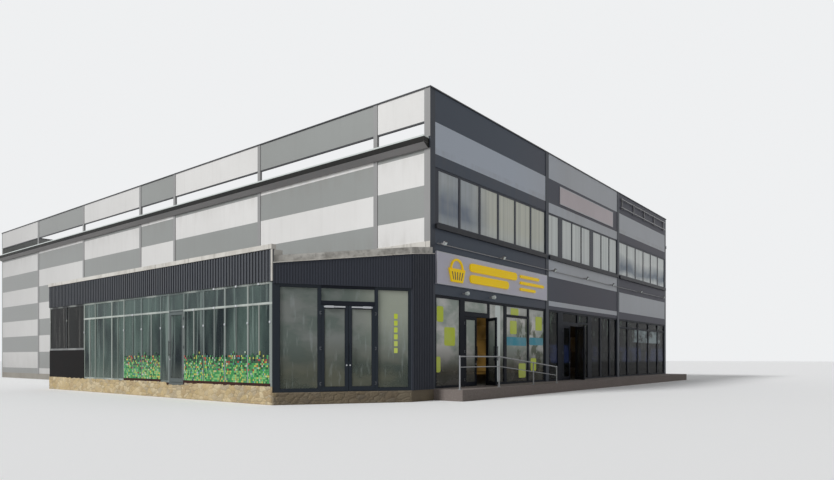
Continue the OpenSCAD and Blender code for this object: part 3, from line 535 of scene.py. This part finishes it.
MATERIALS = {
    "ground_slab": concrete("floor_concrete", srgb(150, 146, 138)),
    "upper_floor": concrete("ceiling_concrete", srgb(170, 168, 162)),
    "front_step": concrete("step_concrete", srgb(122, 112, 108)),
    "annex_plinth": stone("plinth_mortar", srgb(158, 142, 112)),
    "side_panels_light": wall_panel("panel_light", srgb(229, 228, 226)),
    "side_panels_grey": wall_panel("panel_grey", srgb(148, 151, 149)),
    "front_panels_dark": wall_panel("front_dark", srgb(80, 81, 92), sheen=DULL, bluer=srgb(78, 86, 98)),
    # painted shade: the front's light panels are the sides' light paint, painted darker for the shaded front
    "front_panels_light": wall_panel("front_light", srgb(186, 190, 196), bluer=srgb(186, 195, 208)),
    "side_strips": sheet_paint("strip_paint", srgb(150, 150, 150)),
    "roof": sheet_paint("roof_sheet", srgb(158, 160, 162), mottle=0.2),
    "rear_wall": rear_panels("rear_panel", srgb(150, 152, 150), srgb(206, 205, 203), srgb(140, 141, 141)),
    "gutters": gutter_sheet("gutter_paint"),
    "coping": sheet_paint("coping_paint", srgb(46, 48, 54)),
    "upper_frames": sheet_paint("frame_paint", srgb(58, 62, 72), 0.38, 0.05, 0.05, DULL),
    "shop_frames": sheet_paint("shop_frame_paint", srgb(34, 38, 46), 0.45, 0.05, 0.05, 0.08),
    "kiosk_frames": sheet_paint("kiosk_frame_paint", srgb(36, 44, 53), 0.38, 0.05, 0.05, DULL),
    "extension_door_surround": sheet_paint("door_frame_paint", srgb(82, 92, 92), 0.5, 0.2, 0.3),
    "door_hinges": sheet_paint("hinge_steel", srgb(92, 96, 102), 0.35, 0.05, 0.05),
    "front_posts": sheet_paint("post_paint", srgb(66, 72, 82), 0.4, sheen=DULL),
    "front_ledge": sheet_paint("ledge_paint", srgb(46, 48, 54), sheen=DULL),
    "sign_boards": sign_sheet("sign_sheet"),
    "front_fittings": sheet_paint("fitting_metal", srgb(150, 150, 152), 0.35),
    "annex_trim": trim_sheet("trim_sheet", srgb(220, 217, 210)),
    "annex_end_wall": sheet_paint("end_wall_sheet", srgb(84, 84, 88)),
    "kiosk_cladding": sheet_paint("kiosk_sheet", srgb(62, 66, 76), 0.5, 0.04, 0.05, DULL),
    "extension_fascia": sheet_paint("fascia_sheet", srgb(60, 64, 71), 0.5, 0.05, 0.1),
    "extension_sill": sill_paint("sill_paint"),
    "extension_frames": pale_frames("pale_frame_paint"),
    "extension_mosaic": sheet_paint("mosaic_back", srgb(40, 92, 58), 0.6),
    "handrail": sheet_paint("rail_steel", srgb(156, 158, 161), 0.3, 0.05, 0.05),
    "upper_glass": sky_glass("upper_glass"),
    "shop_glass": shop_glass("shop_glass"),
    "extension_glass": streaked_glass("green_glass"),

    "edge": edge_sheet("edge_sheet"),
    "rubber": sheet_paint("seal_rubber", srgb(30, 31, 34), 0.8, 0.05, 0.05),
    "chrome": sheet_paint("bright_steel", srgb(205, 208, 212), 0.25, 0.03, 0.03),
    "blind_warm": blind_fabric("blind_warm", srgb(206, 204, 188)),
    "blind_cool": blind_fabric("blind_cool", srgb(170, 176, 180)),
    "yellow": painted_glow_letters("sign_yellow", srgb(255, 214, 0)),
    "charcoal": sheet_paint("sign_charcoal", srgb(52, 48, 50), 0.4, 0.04, 0.04),
    "lime": film("film_lime", srgb(206, 222, 58)),
    "teal": film("film_teal", srgb(44, 152, 176)),
    "pale_film": film("film_pale", srgb(232, 242, 240)),
}
STONES = [MATERIALS["annex_plinth"]] + [stone("stone_" + tone, srgb(*rgb)) for tone, rgb in (
    ("sand", (194, 174, 136)), ("brown", (176, 154, 118)), ("grey", (178, 164, 138)),
    ("pale", (206, 190, 156)), ("ochre", (188, 166, 122)),
)]
TILES = [tile_glaze("tile_" + tone, srgb(*rgb)) for tone, rgb in (
    ("pale", (134, 204, 122)), ("mid", (54, 158, 82)), ("deep", (18, 94, 50)), ("dark", (14, 50, 36)),
    ("white", (196, 210, 192)), ("yellow", (200, 198, 88)), ("red", (192, 58, 44)), ("blue", (72, 136, 150)),
)]
SHARED = {
    "annex_roof": "roof", "door_heads": "shop_frames", "extension_leaf": "extension_door_surround",
    "extension_pane": "extension_glass", "kiosk_left_leaf": "kiosk_frames",
    "kiosk_right_leaf": "kiosk_frames",
}


def worn_by(node):
    """A node wears the material of its own name, or shares another's: the other leaves and panes share the
    shop windows'."""
    worn = SHARED.get(node, node)
    if worn not in MATERIALS:
        worn = "shop_glass" if node.endswith("_pane") else "shop_frames"
    return MATERIALS[worn]


def dress_nodes():
    for name, thing in NODES.items():
        for slot in thing.material_slots:
            slot.material = worn_by(name)


# Mesh building

def add_object(name, data):
    made = bpy.data.objects.new(name, data)
    bpy.context.scene.collection.objects.link(made)
    return made


SQUARE = ((-1, -1), (1, -1), (1, 1), (-1, 1))


class Piece:
    """One mesh that is put together in a drawing frame and rides on a body."""

    def __init__(self, name, materials, place=FRONT, body=ROOT):
        self.name = name
        self.materials = materials
        self.place = place
        self.body = body
        self.points = []
        self.faces = []
        self.slots = []

    def add(self, points, faces, slot=0):
        first = len(self.points)
        self.points += [self.place @ Vector(p) for p in points]
        self.faces += [[first + i for i in face] for face in faces]
        self.slots += [slot] * len(faces)

    def bar(self, first_ring, last_ring, slot=0):
        """A straight bar between two outlines of as many points, with closed ends."""
        n = len(first_ring)
        sides = [(k, (k + 1) % n, n + (k + 1) % n, n + k) for k in range(n)]
        ends = [range(n)[::-1], range(n, 2 * n)]
        self.add(first_ring + last_ring, sides + ends, slot)

    def box(self, low, high, slot=0, turn=None):
        """A block between two corners, turned about its middle."""
        middle = (Vector(low) + Vector(high)) / 2
        half = (Vector(high) - Vector(low)) / 2
        turn = turn or Matrix.Identity(3)
        foot, head = ([middle + turn @ (half * Vector((a, b, c))) for a, b in SQUARE] for c in (-1, 1))
        self.bar(foot, head, slot)

    def rim(self, low, high, y0, y1, width, slot=0):
        """Four flat bars inside the edges of an upright rectangle."""
        self.box((low.x, y0, low.z), (high.x, y1, low.z + width), slot)
        self.box((low.x, y0, high.z - width), (high.x, y1, high.z), slot)
        self.box((low.x, y0, low.z + width), (low.x + width, y1, high.z - width), slot)
        self.box((high.x - width, y0, low.z + width), (high.x, y1, high.z - width), slot)

    def rod(self, start, end, radius, sides, slot=0, end_radius=None):
        """A round bar or cone between two points."""
        start, end = Vector(start), Vector(end)
        along = (end - start).normalized()
        across = along.orthogonal().normalized()
        other = along.cross(across)
        turns = [2 * math.pi * k / sides for k in range(sides)]
        circle = [math.cos(a) * across + math.sin(a) * other for a in turns]
        end_radius = radius if end_radius is None else end_radius
        self.bar([start + radius * p for p in circle], [end + end_radius * p for p in circle], slot)

    def plate(self, outline, low_y, high_y, slot=0):
        """A flat plate whose outline is given as (x, z), between two depths."""
        self.bar([(x, low_y, z) for x, z in outline], [(x, high_y, z) for x, z in outline], slot)

    def done(self, bevel=0.0, smooth=False):
        mesh = bpy.data.meshes.new(self.name)
        mesh.from_pydata(self.points, [], self.faces)
        for material in self.materials:
            mesh.materials.append(material)
        mesh.polygons.foreach_set("material_index", self.slots)
        bm = bmesh.new()
        bm.from_mesh(mesh)
        bmesh.ops.recalc_face_normals(bm, faces=bm.faces)
        bm.to_mesh(mesh)
        bm.free()
        if smooth:
            mesh.shade_smooth()
        made = add_object(self.name, mesh)
        if bevel:
            edge = made.modifiers.new("edges", "BEVEL")
            edge.width = bevel
            edge.segments = 2
            edge.limit_method = "ANGLE"
        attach(made, self.body)


def solids(node, place=FRONT):
    """Lowest and highest corner of each separate solid of a node, in a drawing frame."""
    mesh = NODES[node].data
    corners = {}
    numbers = [corners.setdefault(tuple(round(c, 4) for c in v.co), len(corners)) for v in mesh.vertices]
    parent = list(range(len(corners)))

    def root(n):
        while parent[n] != n:
            n = parent[n]
        return n

    for face in mesh.polygons:
        first = root(numbers[face.vertices[0]])
        for i in face.vertices[1:]:
            parent[root(numbers[i])] = first
    groups = {}
    to_place = place.inverted()
    for vertex, n in zip(mesh.vertices, numbers):
        groups.setdefault(root(n), []).append(to_place @ vertex.co)
    boxes = []
    for spots in groups.values():
        low = Vector(min(p[i] for p in spots) for i in range(3))
        high = Vector(max(p[i] for p in spots) for i in range(3))
        boxes.append((low, high))
    return sorted(boxes, key=lambda b: (round(b[0].x, 3), round(b[0].z, 3)))


def panes(node, place=FRONT):
    """The flat sheets of a glass node that lie square to a drawing frame."""
    most_depth = 0.04
    return [(low, high) for low, high in solids(node, place) if high.y - low.y < most_depth]


def outer_face(node, place):
    """The outermost depth of a node in a drawing frame."""
    return min(low.y for low, high in solids(node, place))


# Windows

def glazing_beads():
    """A thin bead round every fixed pane, on its outer face."""
    width = 0.016
    stand = 0.012
    for name, node, place, material in (
        ("beads_upper", "upper_glass", FRONT, "upper_frames"),
        ("beads_shop", "shop_glass", FRONT, "shop_frames"),
        ("beads_kiosk", "shop_glass", KIOSK, "kiosk_frames"),
        ("beads_extension", "extension_glass", EXTENSION, "extension_frames"),
    ):
        piece = Piece(name, [MATERIALS[material]], place)
        for low, high in panes(node, place):
            piece.rim(low, high, low.y - stand, low.y, width)
        piece.done(bevel=0.003)


def upper_blinds():
    """Upright slats under a head rail behind each upper pane, of a cooler cloth behind some."""
    random.seed(11)
    slat = 0.118
    step = 0.106
    thin = 0.001
    y = 0.175
    cool_panes = (0, 1, 13, 15, 16)
    piece = Piece("upper_blinds", [MATERIALS[m] for m in ("blind_warm", "blind_cool", "handrail")])
    for number, (low, high) in enumerate(panes("upper_glass")):
        slot = 1 if number in cool_panes else 0
        angle = random.uniform(12, 32)
        count = int((high.x - low.x) / step)
        gap = (high.x - low.x) / count
        for k in range(count):
            x = low.x + (k + 0.5) * gap
            turn = Matrix.Rotation(math.radians(angle + random.uniform(-4, 4)), 3, "Z")
            foot = (x - slat / 2, y - thin, low.z + 0.03)
            head = (x + slat / 2, y + thin, high.z - 0.02)
            piece.box(foot, head, slot, turn)
        piece.box((low.x - 0.03, y - 0.03, high.z - 0.03), (high.x + 0.03, y + 0.03, high.z + 0.02), 2)
    piece.done()


def rounded(left, right, foot, head, r=0.07):
    """The outline of an upright rectangle with round corners."""
    spots = []
    corners = ((right - r, head - r), (left + r, head - r), (left + r, foot + r), (right - r, foot + r))
    for quarter, (x, z) in enumerate(corners):
        for k in range(5):
            a = math.radians(90 * quarter + 22.5 * k)
            spots.append((x + r * math.cos(a), z + r * math.sin(a)))
    return spots


def clipped(outline, low, high):
    """An outline held inside a pane's edges."""
    return [(min(max(x, low.x), high.x), min(max(z, low.z), high.z)) for x, z in outline]


LIME, TEAL, PALE = range(3)
SHOP_FILMS = {  # by pane of the left bay: left, right, foot and head of each film, and its colour
    0: [(0.36, 0.6, 0.5, 1.0, LIME), (0.8, 1.4, 1.35, 1.95, LIME), (0.4, 0.75, 2.1, 2.6, LIME)],
    2: [(3.9, 4.24, 0.1, 2.85, PALE)],
    3: [(4.7, 6.2, 1.42, 1.74, TEAL), (4.95, 5.45, 1.85, 2.35, LIME), (5.6, 6.15, 0.2, 0.75, LIME)],
    4: [(5.0, 5.6, 2.55, 2.82, LIME)],
    5: [(6.45, 7.6, 1.46, 1.76, TEAL), (6.95, 7.5, 2.05, 2.6, LIME), (6.55, 7.0, 0.45, 0.95, LIME)],
}


def window_films():
    """Plain coloured films on the shop panes of the left bay and on the kiosk's right pane."""
    thin = 0.0015
    piece = Piece("window_films", [MATERIALS[m] for m in ("lime", "teal", "pale_film")])
    shown = panes("shop_glass")
    for number, films in SHOP_FILMS.items():
        low, high = shown[number]
        for layer, (left, right, foot, head, slot) in enumerate(films):
            face = low.y - 0.002 * layer
            piece.plate(clipped(rounded(left, right, foot, head), low, high), face - thin, face, slot)
    piece.done()

    lone = Piece("kiosk_film", [MATERIALS["lime"]], KIOSK)
    low, high = max(panes("shop_glass", KIOSK), key=lambda pane: pane[0].x)
    left = low.x + 0.495
    width = 0.11
    dash = 0.15
    for k in range(6):
        foot = 1.1 + k * (dash + 0.05)
        lone.plate(rounded(left, left + width, foot, foot + dash, 0.02), low.y - 0.002, low.y)
    lone.done()


TILE_CHANCES = [  # how often each tile colour comes, up to a share of the mosaic's height
    (0.40, (4, 4, 1, 0, 0.3, 1.5, 0.1, 0.3)),
    (0.70, (1.5, 4, 3, 1, 0.3, 1.2, 0.6, 0.4)),
    (1.01, (0.5, 2.5, 4, 3, 0.4, 0.9, 1.2, 0.6)),
    (9.99, (0.4, 1.5, 3, 3, 0.5, 0.8, 2.5, 0.6)),
]


def mosaic_tiles():
    """Small glazed squares over the low part of six modules, as a plain random bed with a broken top."""
    random.seed(23)
    pitch = 0.0565
    grout = 0.005
    thick = 0.006
    joint = 0.025
    piece = Piece("mosaic_tiles", TILES, EXTENSION)
    low, high = solids("extension_mosaic", EXTENSION)[0]
    face = outer_face("extension_frames", EXTENSION)
    rows = int((high.z - low.z) / pitch)
    for k in MOSAIC_MODULES:
        left, right = MODULE_POSTS[k] + joint, MODULE_POSTS[k + 1] - joint
        columns = round((right - left) / pitch)
        step = (right - left) / columns
        for i in range(columns):
            shorter = random.choice((0, 0, 1))
            taller = random.choice((-2, -1, 0, 0, 1, 1, 2))
            for j in range(rows - shorter + taller * (i % 2)):
                share = (j + 0.5) / rows
                chances = next(chances for limit, chances in TILE_CHANCES if share < limit)
                slot = random.choices(range(len(TILES)), chances)[0]
                x, z = left + i * step, low.z + j * pitch
                piece.box((x, face - thick, z), (x + step - grout, face, z + pitch - grout), slot)
    piece.done()


def glass_clamps():
    """Bright clamps where the extension's panes meet, and a few on its transom and under the fascia."""
    piece = Piece("glass_clamps", [MATERIALS["chrome"]], EXTENSION)
    face = outer_face("extension_frames", EXTENSION)
    cap = face - 0.016
    low_group_inside = MODULE_POSTS[1:3]
    for x in MODULE_POSTS:
        if x not in low_group_inside:
            piece.rod((x, face, CLAMP_Z), (x, cap, CLAMP_Z), 0.036, 16)
            piece.rod((x, cap, CLAMP_Z), (x, cap - 0.01, CLAMP_Z), 0.016, 12)
    for z, modules in ((TRANSOM_Z, (3, 6, 7, 8)), (FASCIA_FOOT_Z, (7, 8, 9))):
        for k in modules:
            x = (MODULE_POSTS[k] + MODULE_POSTS[k + 1]) / 2
            piece.box((x - 0.04, face - 0.014, z - 0.03), (x + 0.04, face, z + 0.03))
    piece.done(bevel=0.003)


# Signs and lamps

def sign_design():
    """A plain basket shape with bars of like colours on the left bay's board."""
    board_low, board_high = solids("sign_boards")[0]
    face = board_low.y
    front = face - 0.05
    middle = (board_low.z + board_high.z) / 2
    x = board_low.x + 1.05
    piece = Piece("sign_design", [MATERIALS["yellow"], MATERIALS["charcoal"]])

    def handle(outer, inner, steps=26):
        def spot(r, k):
            a = math.pi * k / steps
            return x + r * math.cos(a), middle + 0.02 + r * math.sin(a)

        for k in range(steps):
            piece.plate([spot(outer, k), spot(outer, k + 1), spot(inner, k + 1), spot(inner, k)], front, face)

    def basket(top_half, foot_half, top, foot):
        piece.plate([(x - top_half, top), (x + top_half, top), (x + foot_half, foot), (x - foot_half, foot)],
                    front, face)
        half = 0.025
        for k in range(-2, 3):
            high_x = x + 0.15 * k
            low_x = x + 0.108 * k
            slit = [(high_x - half, top - 0.1), (high_x + half, top - 0.1),
                    (low_x + half, foot + 0.07), (low_x - half, foot + 0.07)]
            piece.plate(slit, front - 0.002, front + 0.001, 1)

    def stripe(start, length, centre, height):
        r = height / 2
        turns = [math.radians(15 * k - 90) for k in range(13)]
        right = [(start + length - r + r * math.cos(a), centre + r * math.sin(a)) for a in turns]
        left = [(start + r - r * math.cos(a), centre - r * math.sin(a)) for a in turns]
        piece.plate(right + left, front, face)

    handle(0.36, 0.3)
    basket(0.46, 0.32, middle + 0.05, middle - 0.38)
    stripe(x + 0.75, 3.15, middle + 0.19, 0.28)
    stripe(x + 0.75, 2.55, middle - 0.19, 0.28)
    for k, length in enumerate((1.5, 1.9, 1.2)):
        stripe(x + 4.15, length, middle + 0.24 - 0.24 * k, 0.11)
    piece.done(bevel=0.004)

    trim = Piece("sign_edges", [MATERIALS["chrome"]])
    for low, high in solids("sign_boards"):
        trim.rim(low, high, low.y - 0.004, low.y, 0.025)
    trim.done()


def lamp_details():
    """Glass faces and cooling fins of the floodlights, and pale hoods of the two bracket lamps."""
    piece = Piece("lamp_faces", [MATERIALS["pale_film"], MATERIALS["charcoal"]])
    floodlights = (0.42, 4.0, 8.06, 11.3, 14.4, 18.4, 22.3)
    bracket_lamps = (1.77, 3.44)
    tip = Matrix.Rotation(math.radians(30), 3, "X")
    arm = 0.23

    def tipped_box(pivot_x, offset, half, slot):
        centre = Vector((pivot_x, -arm, LAMP_PIPE_Z)) + tip @ Vector(offset)
        piece.box(centre - Vector(half), centre + Vector(half), slot, tip)

    for x in floodlights:
        tipped_box(x, (0, -0.062, 0), (0.055, 0.002, 0.045), 0)
        for k in range(5):
            tipped_box(x, (-0.05 + 0.025 * k, -0.02, 0.066), (0.003, 0.02, 0.008), 1)

    for x in bracket_lamps:
        for back, front, back_r, front_r in ((0.12, 0.2, 0.05, 0.066), (0.2, 0.236, 0.066, 0.06),
                                             (0.24, 0.247, 0.034, 0.034)):
            piece.rod((x, -back, BRACKET_LAMP_Z), (x, -front, BRACKET_LAMP_Z), back_r, 20, end_radius=front_r)
    piece.done()


# Doors

LEAVES = {
    "entrance_left": FRONT, "entrance_right": FRONT, "second_left": FRONT, "second_right": FRONT,
    "kiosk_left": KIOSK, "kiosk_right": KIOSK, "extension": EXTENSION,
}
OPEN_AT_REST = {"entrance_right": 57, "second_right": 50}


def leaf_place(name):
    """The leaf's own frame: the hinge axis at the origin, the leaf along +X and its outer face along -Y."""
    joint = next(j for j in frame["joints"] if j["child"] == name + "_door")
    turned = LEAVES[name].to_3x3().to_4x4()
    swing = Matrix.Rotation(math.radians(OPEN_AT_REST.get(name, 0)), 4, "Z")
    mirror = Matrix.Identity(4) if name.endswith("left") else Matrix.Scale(-1, 4, (1, 0, 0))
    return Matrix.Translation(joint["pos_m"]) @ turned @ swing @ mirror


def door_details():
    """On each leaf: seals round the pane, a kick plate, a lock and, on the kiosk's pair, a bright closer."""
    face = 0.012
    seal = 0.012
    lock_z = 0.74
    for name in LEAVES:
        place = leaf_place(name)
        leaf_high = solids(name + "_leaf", place)[0][1]
        low, high = solids(name + "_pane", place)[0]
        wears = [MATERIALS["rubber"], MATERIALS["chrome"], worn_by(name + "_leaf")]
        piece = Piece(name + "_fittings", wears, place, name + "_door")
        piece.rim(low, high, face + 0.008, low.y, seal)
        piece.rim(low, high, high.y, face + 0.042, seal)
        piece.rod((high.x + 0.045, face - 0.006, lock_z), (high.x + 0.045, face, lock_z), 0.022, 18, 1)
        piece.box((low.x - 0.03, face - 0.002, 0.02), (high.x + 0.03, face, low.z - 0.02), 2)
        if name.startswith("kiosk"):
            z = leaf_high.z - 0.045
            piece.box((0.08, face - 0.034, z - 0.02), (high.x, face, z + 0.02), 1)
            piece.box((0.12, face - 0.044, z - 0.03), (0.36, face - 0.002, z + 0.03), 1)
        piece.done(bevel=0.002)


# Roofs, gutters and walls

def roof_ribs():
    """Profile ribs down both slopes of the main roof and down the lean-to's, with a cap on the ridge."""
    pitch = 0.34
    crest, foot, rise = 0.03, 0.06, 0.03
    low, high = solids("roof")[0]
    middle = (low.x + high.x) / 2
    eaves = (low.x + 0.15, high.x - 0.15)
    piece = Piece("roof_ribs", [MATERIALS["roof"]])

    def rib_end(x, y, z):
        return [(x, y - foot / 2, z), (x, y - crest / 2, z + rise),
                (x, y + crest / 2, z + rise), (x, y + foot / 2, z)]

    count = int((high.y - low.y - pitch) / pitch)
    for k in range(count + 1):
        y = low.y + pitch / 2 + k * (high.y - low.y - pitch) / count
        for eave in eaves:
            piece.bar(rib_end(eave, y, ROOF_EAVE_Z), rib_end(middle, y, high.z))

    reach, sheet = 0.32, 0.004
    top = high.z + rise
    edge = top - reach * (high.z - ROOF_EAVE_Z) / (middle - eaves[0])
    for x in (middle - reach, middle + reach):
        ends = [[(middle, y, top), (x, y, edge), (x, y, edge + sheet), (middle, y, top + sheet)]
                for y in (low.y, high.y)]
        piece.bar(*ends)

    low, high = solids("annex_roof")[0]
    y = 0.35
    while y < high.y - 0.1:
        kiosk_cut = max(0.0, (ANNEX_START - y) / math.tan(-KIOSK_TURN))
        x0 = max(low.x, kiosk_cut - ANNEX_OUT) + 0.12
        x1 = -0.06
        z0, z1 = (ANNEX_LOW_Z + (x + ANNEX_OUT) * ANNEX_SLOPE for x in (x0, x1))
        piece.bar(rib_end(x0, y, z0), rib_end(x1, y, z1))
        y += pitch
    piece.done()


def kiosk_roof_edge():
    """The weathered pale upstand along the roof's edge, above the kiosk's fascia and pier."""
    height = 0.21
    thick = 0.012
    foot_z = ANNEX_LOW_Z + 0.004
    pier_z = foot_z + ANNEX_SLOPE * KIOSK_RUN.x

    def edge_end(x, y, z):
        return [(x, y, z), (x, y + thick, z), (x, y + thick, z + height), (x, y, z + height)]

    piece = Piece("kiosk_roof_edge", [MATERIALS["edge"]], KIOSK)
    piece.bar(edge_end(0.0, 0.03, foot_z), edge_end(KIOSK_RUN.length, 0.03, pier_z))
    piece.done()
    x0, x1 = KIOSK_RUN.x - ANNEX_OUT, -0.02
    y = ANNEX_START + KIOSK_RUN.y + 0.03
    pier = Piece("pier_roof_edge", [MATERIALS["edge"]])
    pier.bar(edge_end(x0, y, pier_z), edge_end(x1, y, pier_z + ANNEX_SLOPE * (x1 - x0)))
    pier.done()


def on_both_sides(build):
    """Calls build with the left side's frame, and with its mirror image for the right side."""
    mirrored = FRONT @ Matrix.Translation((WIDTH, 0, 0)) @ Matrix.Scale(-1, 4, (1, 0, 0))
    for side, place in (("left", FRONT), ("right", mirrored)):
        build(side, place)


def gutter_brackets(side, place):
    """Flat brackets across the gutter, and the plate at its front end."""
    piece = Piece("gutter_brackets_" + side, [MATERIALS["gutters"]], place)
    step = 0.9
    y = 0.45
    while y < DEPTH - 0.3:
        piece.box((-0.288, y, GUTTER_TOP_Z - 0.002), (-0.002, y + 0.03, GUTTER_TOP_Z + 0.006))
        y += step
    piece.box((-0.28, 0.045, GUTTER_TOP_Z - 0.2), (-0.06, 0.06, GUTTER_TOP_Z - 0.01))
    piece.done(bevel=0.001)


def strip_screws(side, place):
    """Dome-headed screws down the cover strips."""
    pitch = 0.5
    above_lean_to = 4.9
    piece = Piece("strip_screws_" + side, [MATERIALS["front_fittings"]], place)
    for low, high in solids("side_strips", place):
        if low.x > 0:
            continue
        y = (low.y + high.y) / 2
        by_lean_to = side == "left" and y < ANNEX_END
        z = max(low.z + 0.3, above_lean_to if by_lean_to else 0.0)
        while z < high.z - 0.1:
            piece.rod((low.x, y, z), (low.x - 0.004, y, z), 0.011, 8, end_radius=0.006)
            z += pitch
    piece.done()


def stone_relief(x, z):
    """How far the rough plinth stands out at a place, and its tone: 0 in a joint, or one of the stones'."""
    joint = 0.045
    sunk, bulge, rough = 0.004, 0.015, 0.008
    wave = 0.06 * noise.noise(Vector((x * 3, 0, z + 5)))
    distances, middles = noise.voronoi(Vector((x * 4.4, 3, (z + wave) * 7)))
    from_joint = distances[1] - distances[0]
    grain = noise.noise(Vector((x * 26, 0, z * 26)))
    relief = sunk + bulge * min(1.0, from_joint * 3) ** 0.6 + rough * grain
    pick = int(abs(middles[0].x * 7.3 + middles[0].z * 13.7) * 10) % (len(STONES) - 1)
    return relief, 0 if from_joint < joint else 1 + pick


def broken_top(x):
    """The uneven height to which the stones climb over the extension's sill beam, lower at its door."""
    at_door = DOOR_SPAN[0] - 0.1 < x < DOOR_SPAN[1] + 0.1
    top = DOOR_STONES_Z if at_door else SILL_STONES_Z
    top -= 0.05 * abs(noise.noise(Vector((x * 2.5, 7, 0))))
    top -= 0.03 * abs(noise.noise(Vector((x * 15, 2, 0))))
    return max(top, -0.01)


def plinth_stones():
    """The lean-to's rough plinth, as relief over its street faces."""
    cell = 0.0145
    thinnest = 0.001
    for name, place, length, top_z in (
        ("kiosk", KIOSK, KIOSK_RUN.length, 0.0),
        ("extension", EXTENSION, ANNEX_END - ANNEX_START, SILL_STONES_Z),
    ):
        height = FLOOR_Z + top_z
        columns = int(length / cell)
        rows = int(height / cell)
        spots = []
        tones = []
        for j in range(rows + 1):
            for i in range(columns + 1):
                x, z = i * length / columns, j * height / rows - FLOOR_Z
                relief, tone = stone_relief(x, z)
                fade = min(1.0, i / 2, (columns - i) / 2, j / 1.5 + 0.35, (rows - j) / 1.5)
                spots.append((x, -max(thinnest, relief * fade), z))
                tones.append(tone)
        piece = Piece("plinth_stones_" + name, STONES, place)
        piece.add(spots, [])
        wide = columns + 1
        for j in range(rows):
            for i in range(columns):
                k = j * wide + i
                x, z = spots[k][0], spots[k][2]
                if name == "kiosk" or z < broken_top(x):
                    piece.faces.append((k, k + 1, k + wide + 1, k + wide))
                    piece.slots.append(tones[k])
        piece.done(smooth=True)


def rail_feet():
    """A round foot plate with four bolts under each post of the handrail."""
    posts = (0.06, 2.32, 4.68, 6.53)
    rail_y = -1.06
    plate = 0.012
    bolt_head = 0.008
    to_bolt = 0.043
    piece = Piece("rail_feet", [MATERIALS["handrail"]])
    for x in posts:
        piece.rod((x, rail_y, 0.0), (x, rail_y, plate), 0.06, 24)
        for k in range(4):
            a = math.radians(45 + 90 * k)
            bolt_x, bolt_y = x + to_bolt * math.cos(a), rail_y + to_bolt * math.sin(a)
            piece.rod((bolt_x, bolt_y, plate), (bolt_x, bolt_y, plate + bolt_head), 0.008, 6)
    piece.done(bevel=0.001)


# Camera, light and floor

CAMERA_PLACE = (-26.984, -29.752, 1.2985)
CAMERA_YAW = math.radians(-51.45)
LENS_MM = 26.737
SENSOR_MM = 36.0
SHIFT_Y = 0.14136
BACKGROUND = (0.86, 0.87, 0.88, 1.0)
SKY_LIGHT = 0.45
SUN_LIGHT = 2.2
TO_SUN = Vector((-0.78, 0.22, 0.58))
FLOOR_REACH = 240.0


def camera():
    """Stands where the photograph was taken from."""
    data = bpy.data.cameras.new("camera")
    data.sensor_width = SENSOR_MM
    data.lens = LENS_MM
    data.shift_y = SHIFT_Y
    data.clip_end = 2 * FLOOR_REACH
    made = add_object("camera", data)
    made.location = CAMERA_PLACE
    made.rotation_euler = (math.radians(90), 0, CAMERA_YAW)
    bpy.context.scene.camera = made


def lights():
    """A soft sun and an even sky, which camera, mirrored and transmitted rays see as the pale background."""
    world = bpy.data.worlds.new("studio")
    bpy.context.scene.world = world
    world.use_nodes = True
    tree = world.node_tree
    tree.nodes.clear()
    path = tree.nodes.new("ShaderNodeLightPath")
    seen = path.outputs["Is Camera Ray"]
    for ray in ("Is Glossy Ray", "Is Transmission Ray"):
        either = tree.nodes.new("ShaderNodeMath")
        either.operation = "MAXIMUM"
        tree.links.new(seen, either.inputs[0])
        tree.links.new(path.outputs[ray], either.inputs[1])
        seen = either.outputs[0]
    light = tree.nodes.new("ShaderNodeBackground")
    light.inputs["Strength"].default_value = SKY_LIGHT
    backdrop = tree.nodes.new("ShaderNodeBackground")
    backdrop.inputs["Color"].default_value = BACKGROUND
    mix = tree.nodes.new("ShaderNodeMixShader")
    tree.links.new(seen, mix.inputs[0])
    tree.links.new(light.outputs[0], mix.inputs[1])
    tree.links.new(backdrop.outputs[0], mix.inputs[2])
    out = tree.nodes.new("ShaderNodeOutputWorld")
    tree.links.new(mix.outputs[0], out.inputs[0])

    data = bpy.data.lights.new("soft_sun", "SUN")
    data.energy = SUN_LIGHT
    data.angle = math.radians(12)
    sun = add_object("soft_sun", data)
    sun.rotation_mode = "QUATERNION"
    sun.rotation_quaternion = TO_SUN.to_track_quat("Z", "Y")


def floor():
    """The pale floor. It throws back less light than the camera sees in it."""
    mesh = bpy.data.meshes.new("floor")
    mesh.from_pydata([(a * FLOOR_REACH, b * FLOOR_REACH, 0.0) for a, b in SQUARE], [], [range(4)])
    made = add_object("floor", mesh)
    made.location.z = -0.002
    s = Surface("floor_pale", (0.55, 0.55, 0.55, 1.0), 0.9)
    s.tint(s.node("LightPath").outputs["Is Camera Ray"], (0.93, 0.935, 0.94, 1.0))
    s.tint(s.noise(0.3, 3.0), (0.5, 0.5, 0.5, 1.0), 0.02)
    mesh.materials.append(s.finish())


bpy.context.scene.view_settings.view_transform = "Standard"
camera()
lights()
floor()
dress_nodes()
glazing_beads()
upper_blinds()
window_films()
mosaic_tiles()
glass_clamps()
sign_design()
lamp_details()
door_details()
roof_ribs()
kiosk_roof_edge()
on_both_sides(gutter_brackets)
on_both_sides(strip_screws)
plinth_stones()
rail_feet()
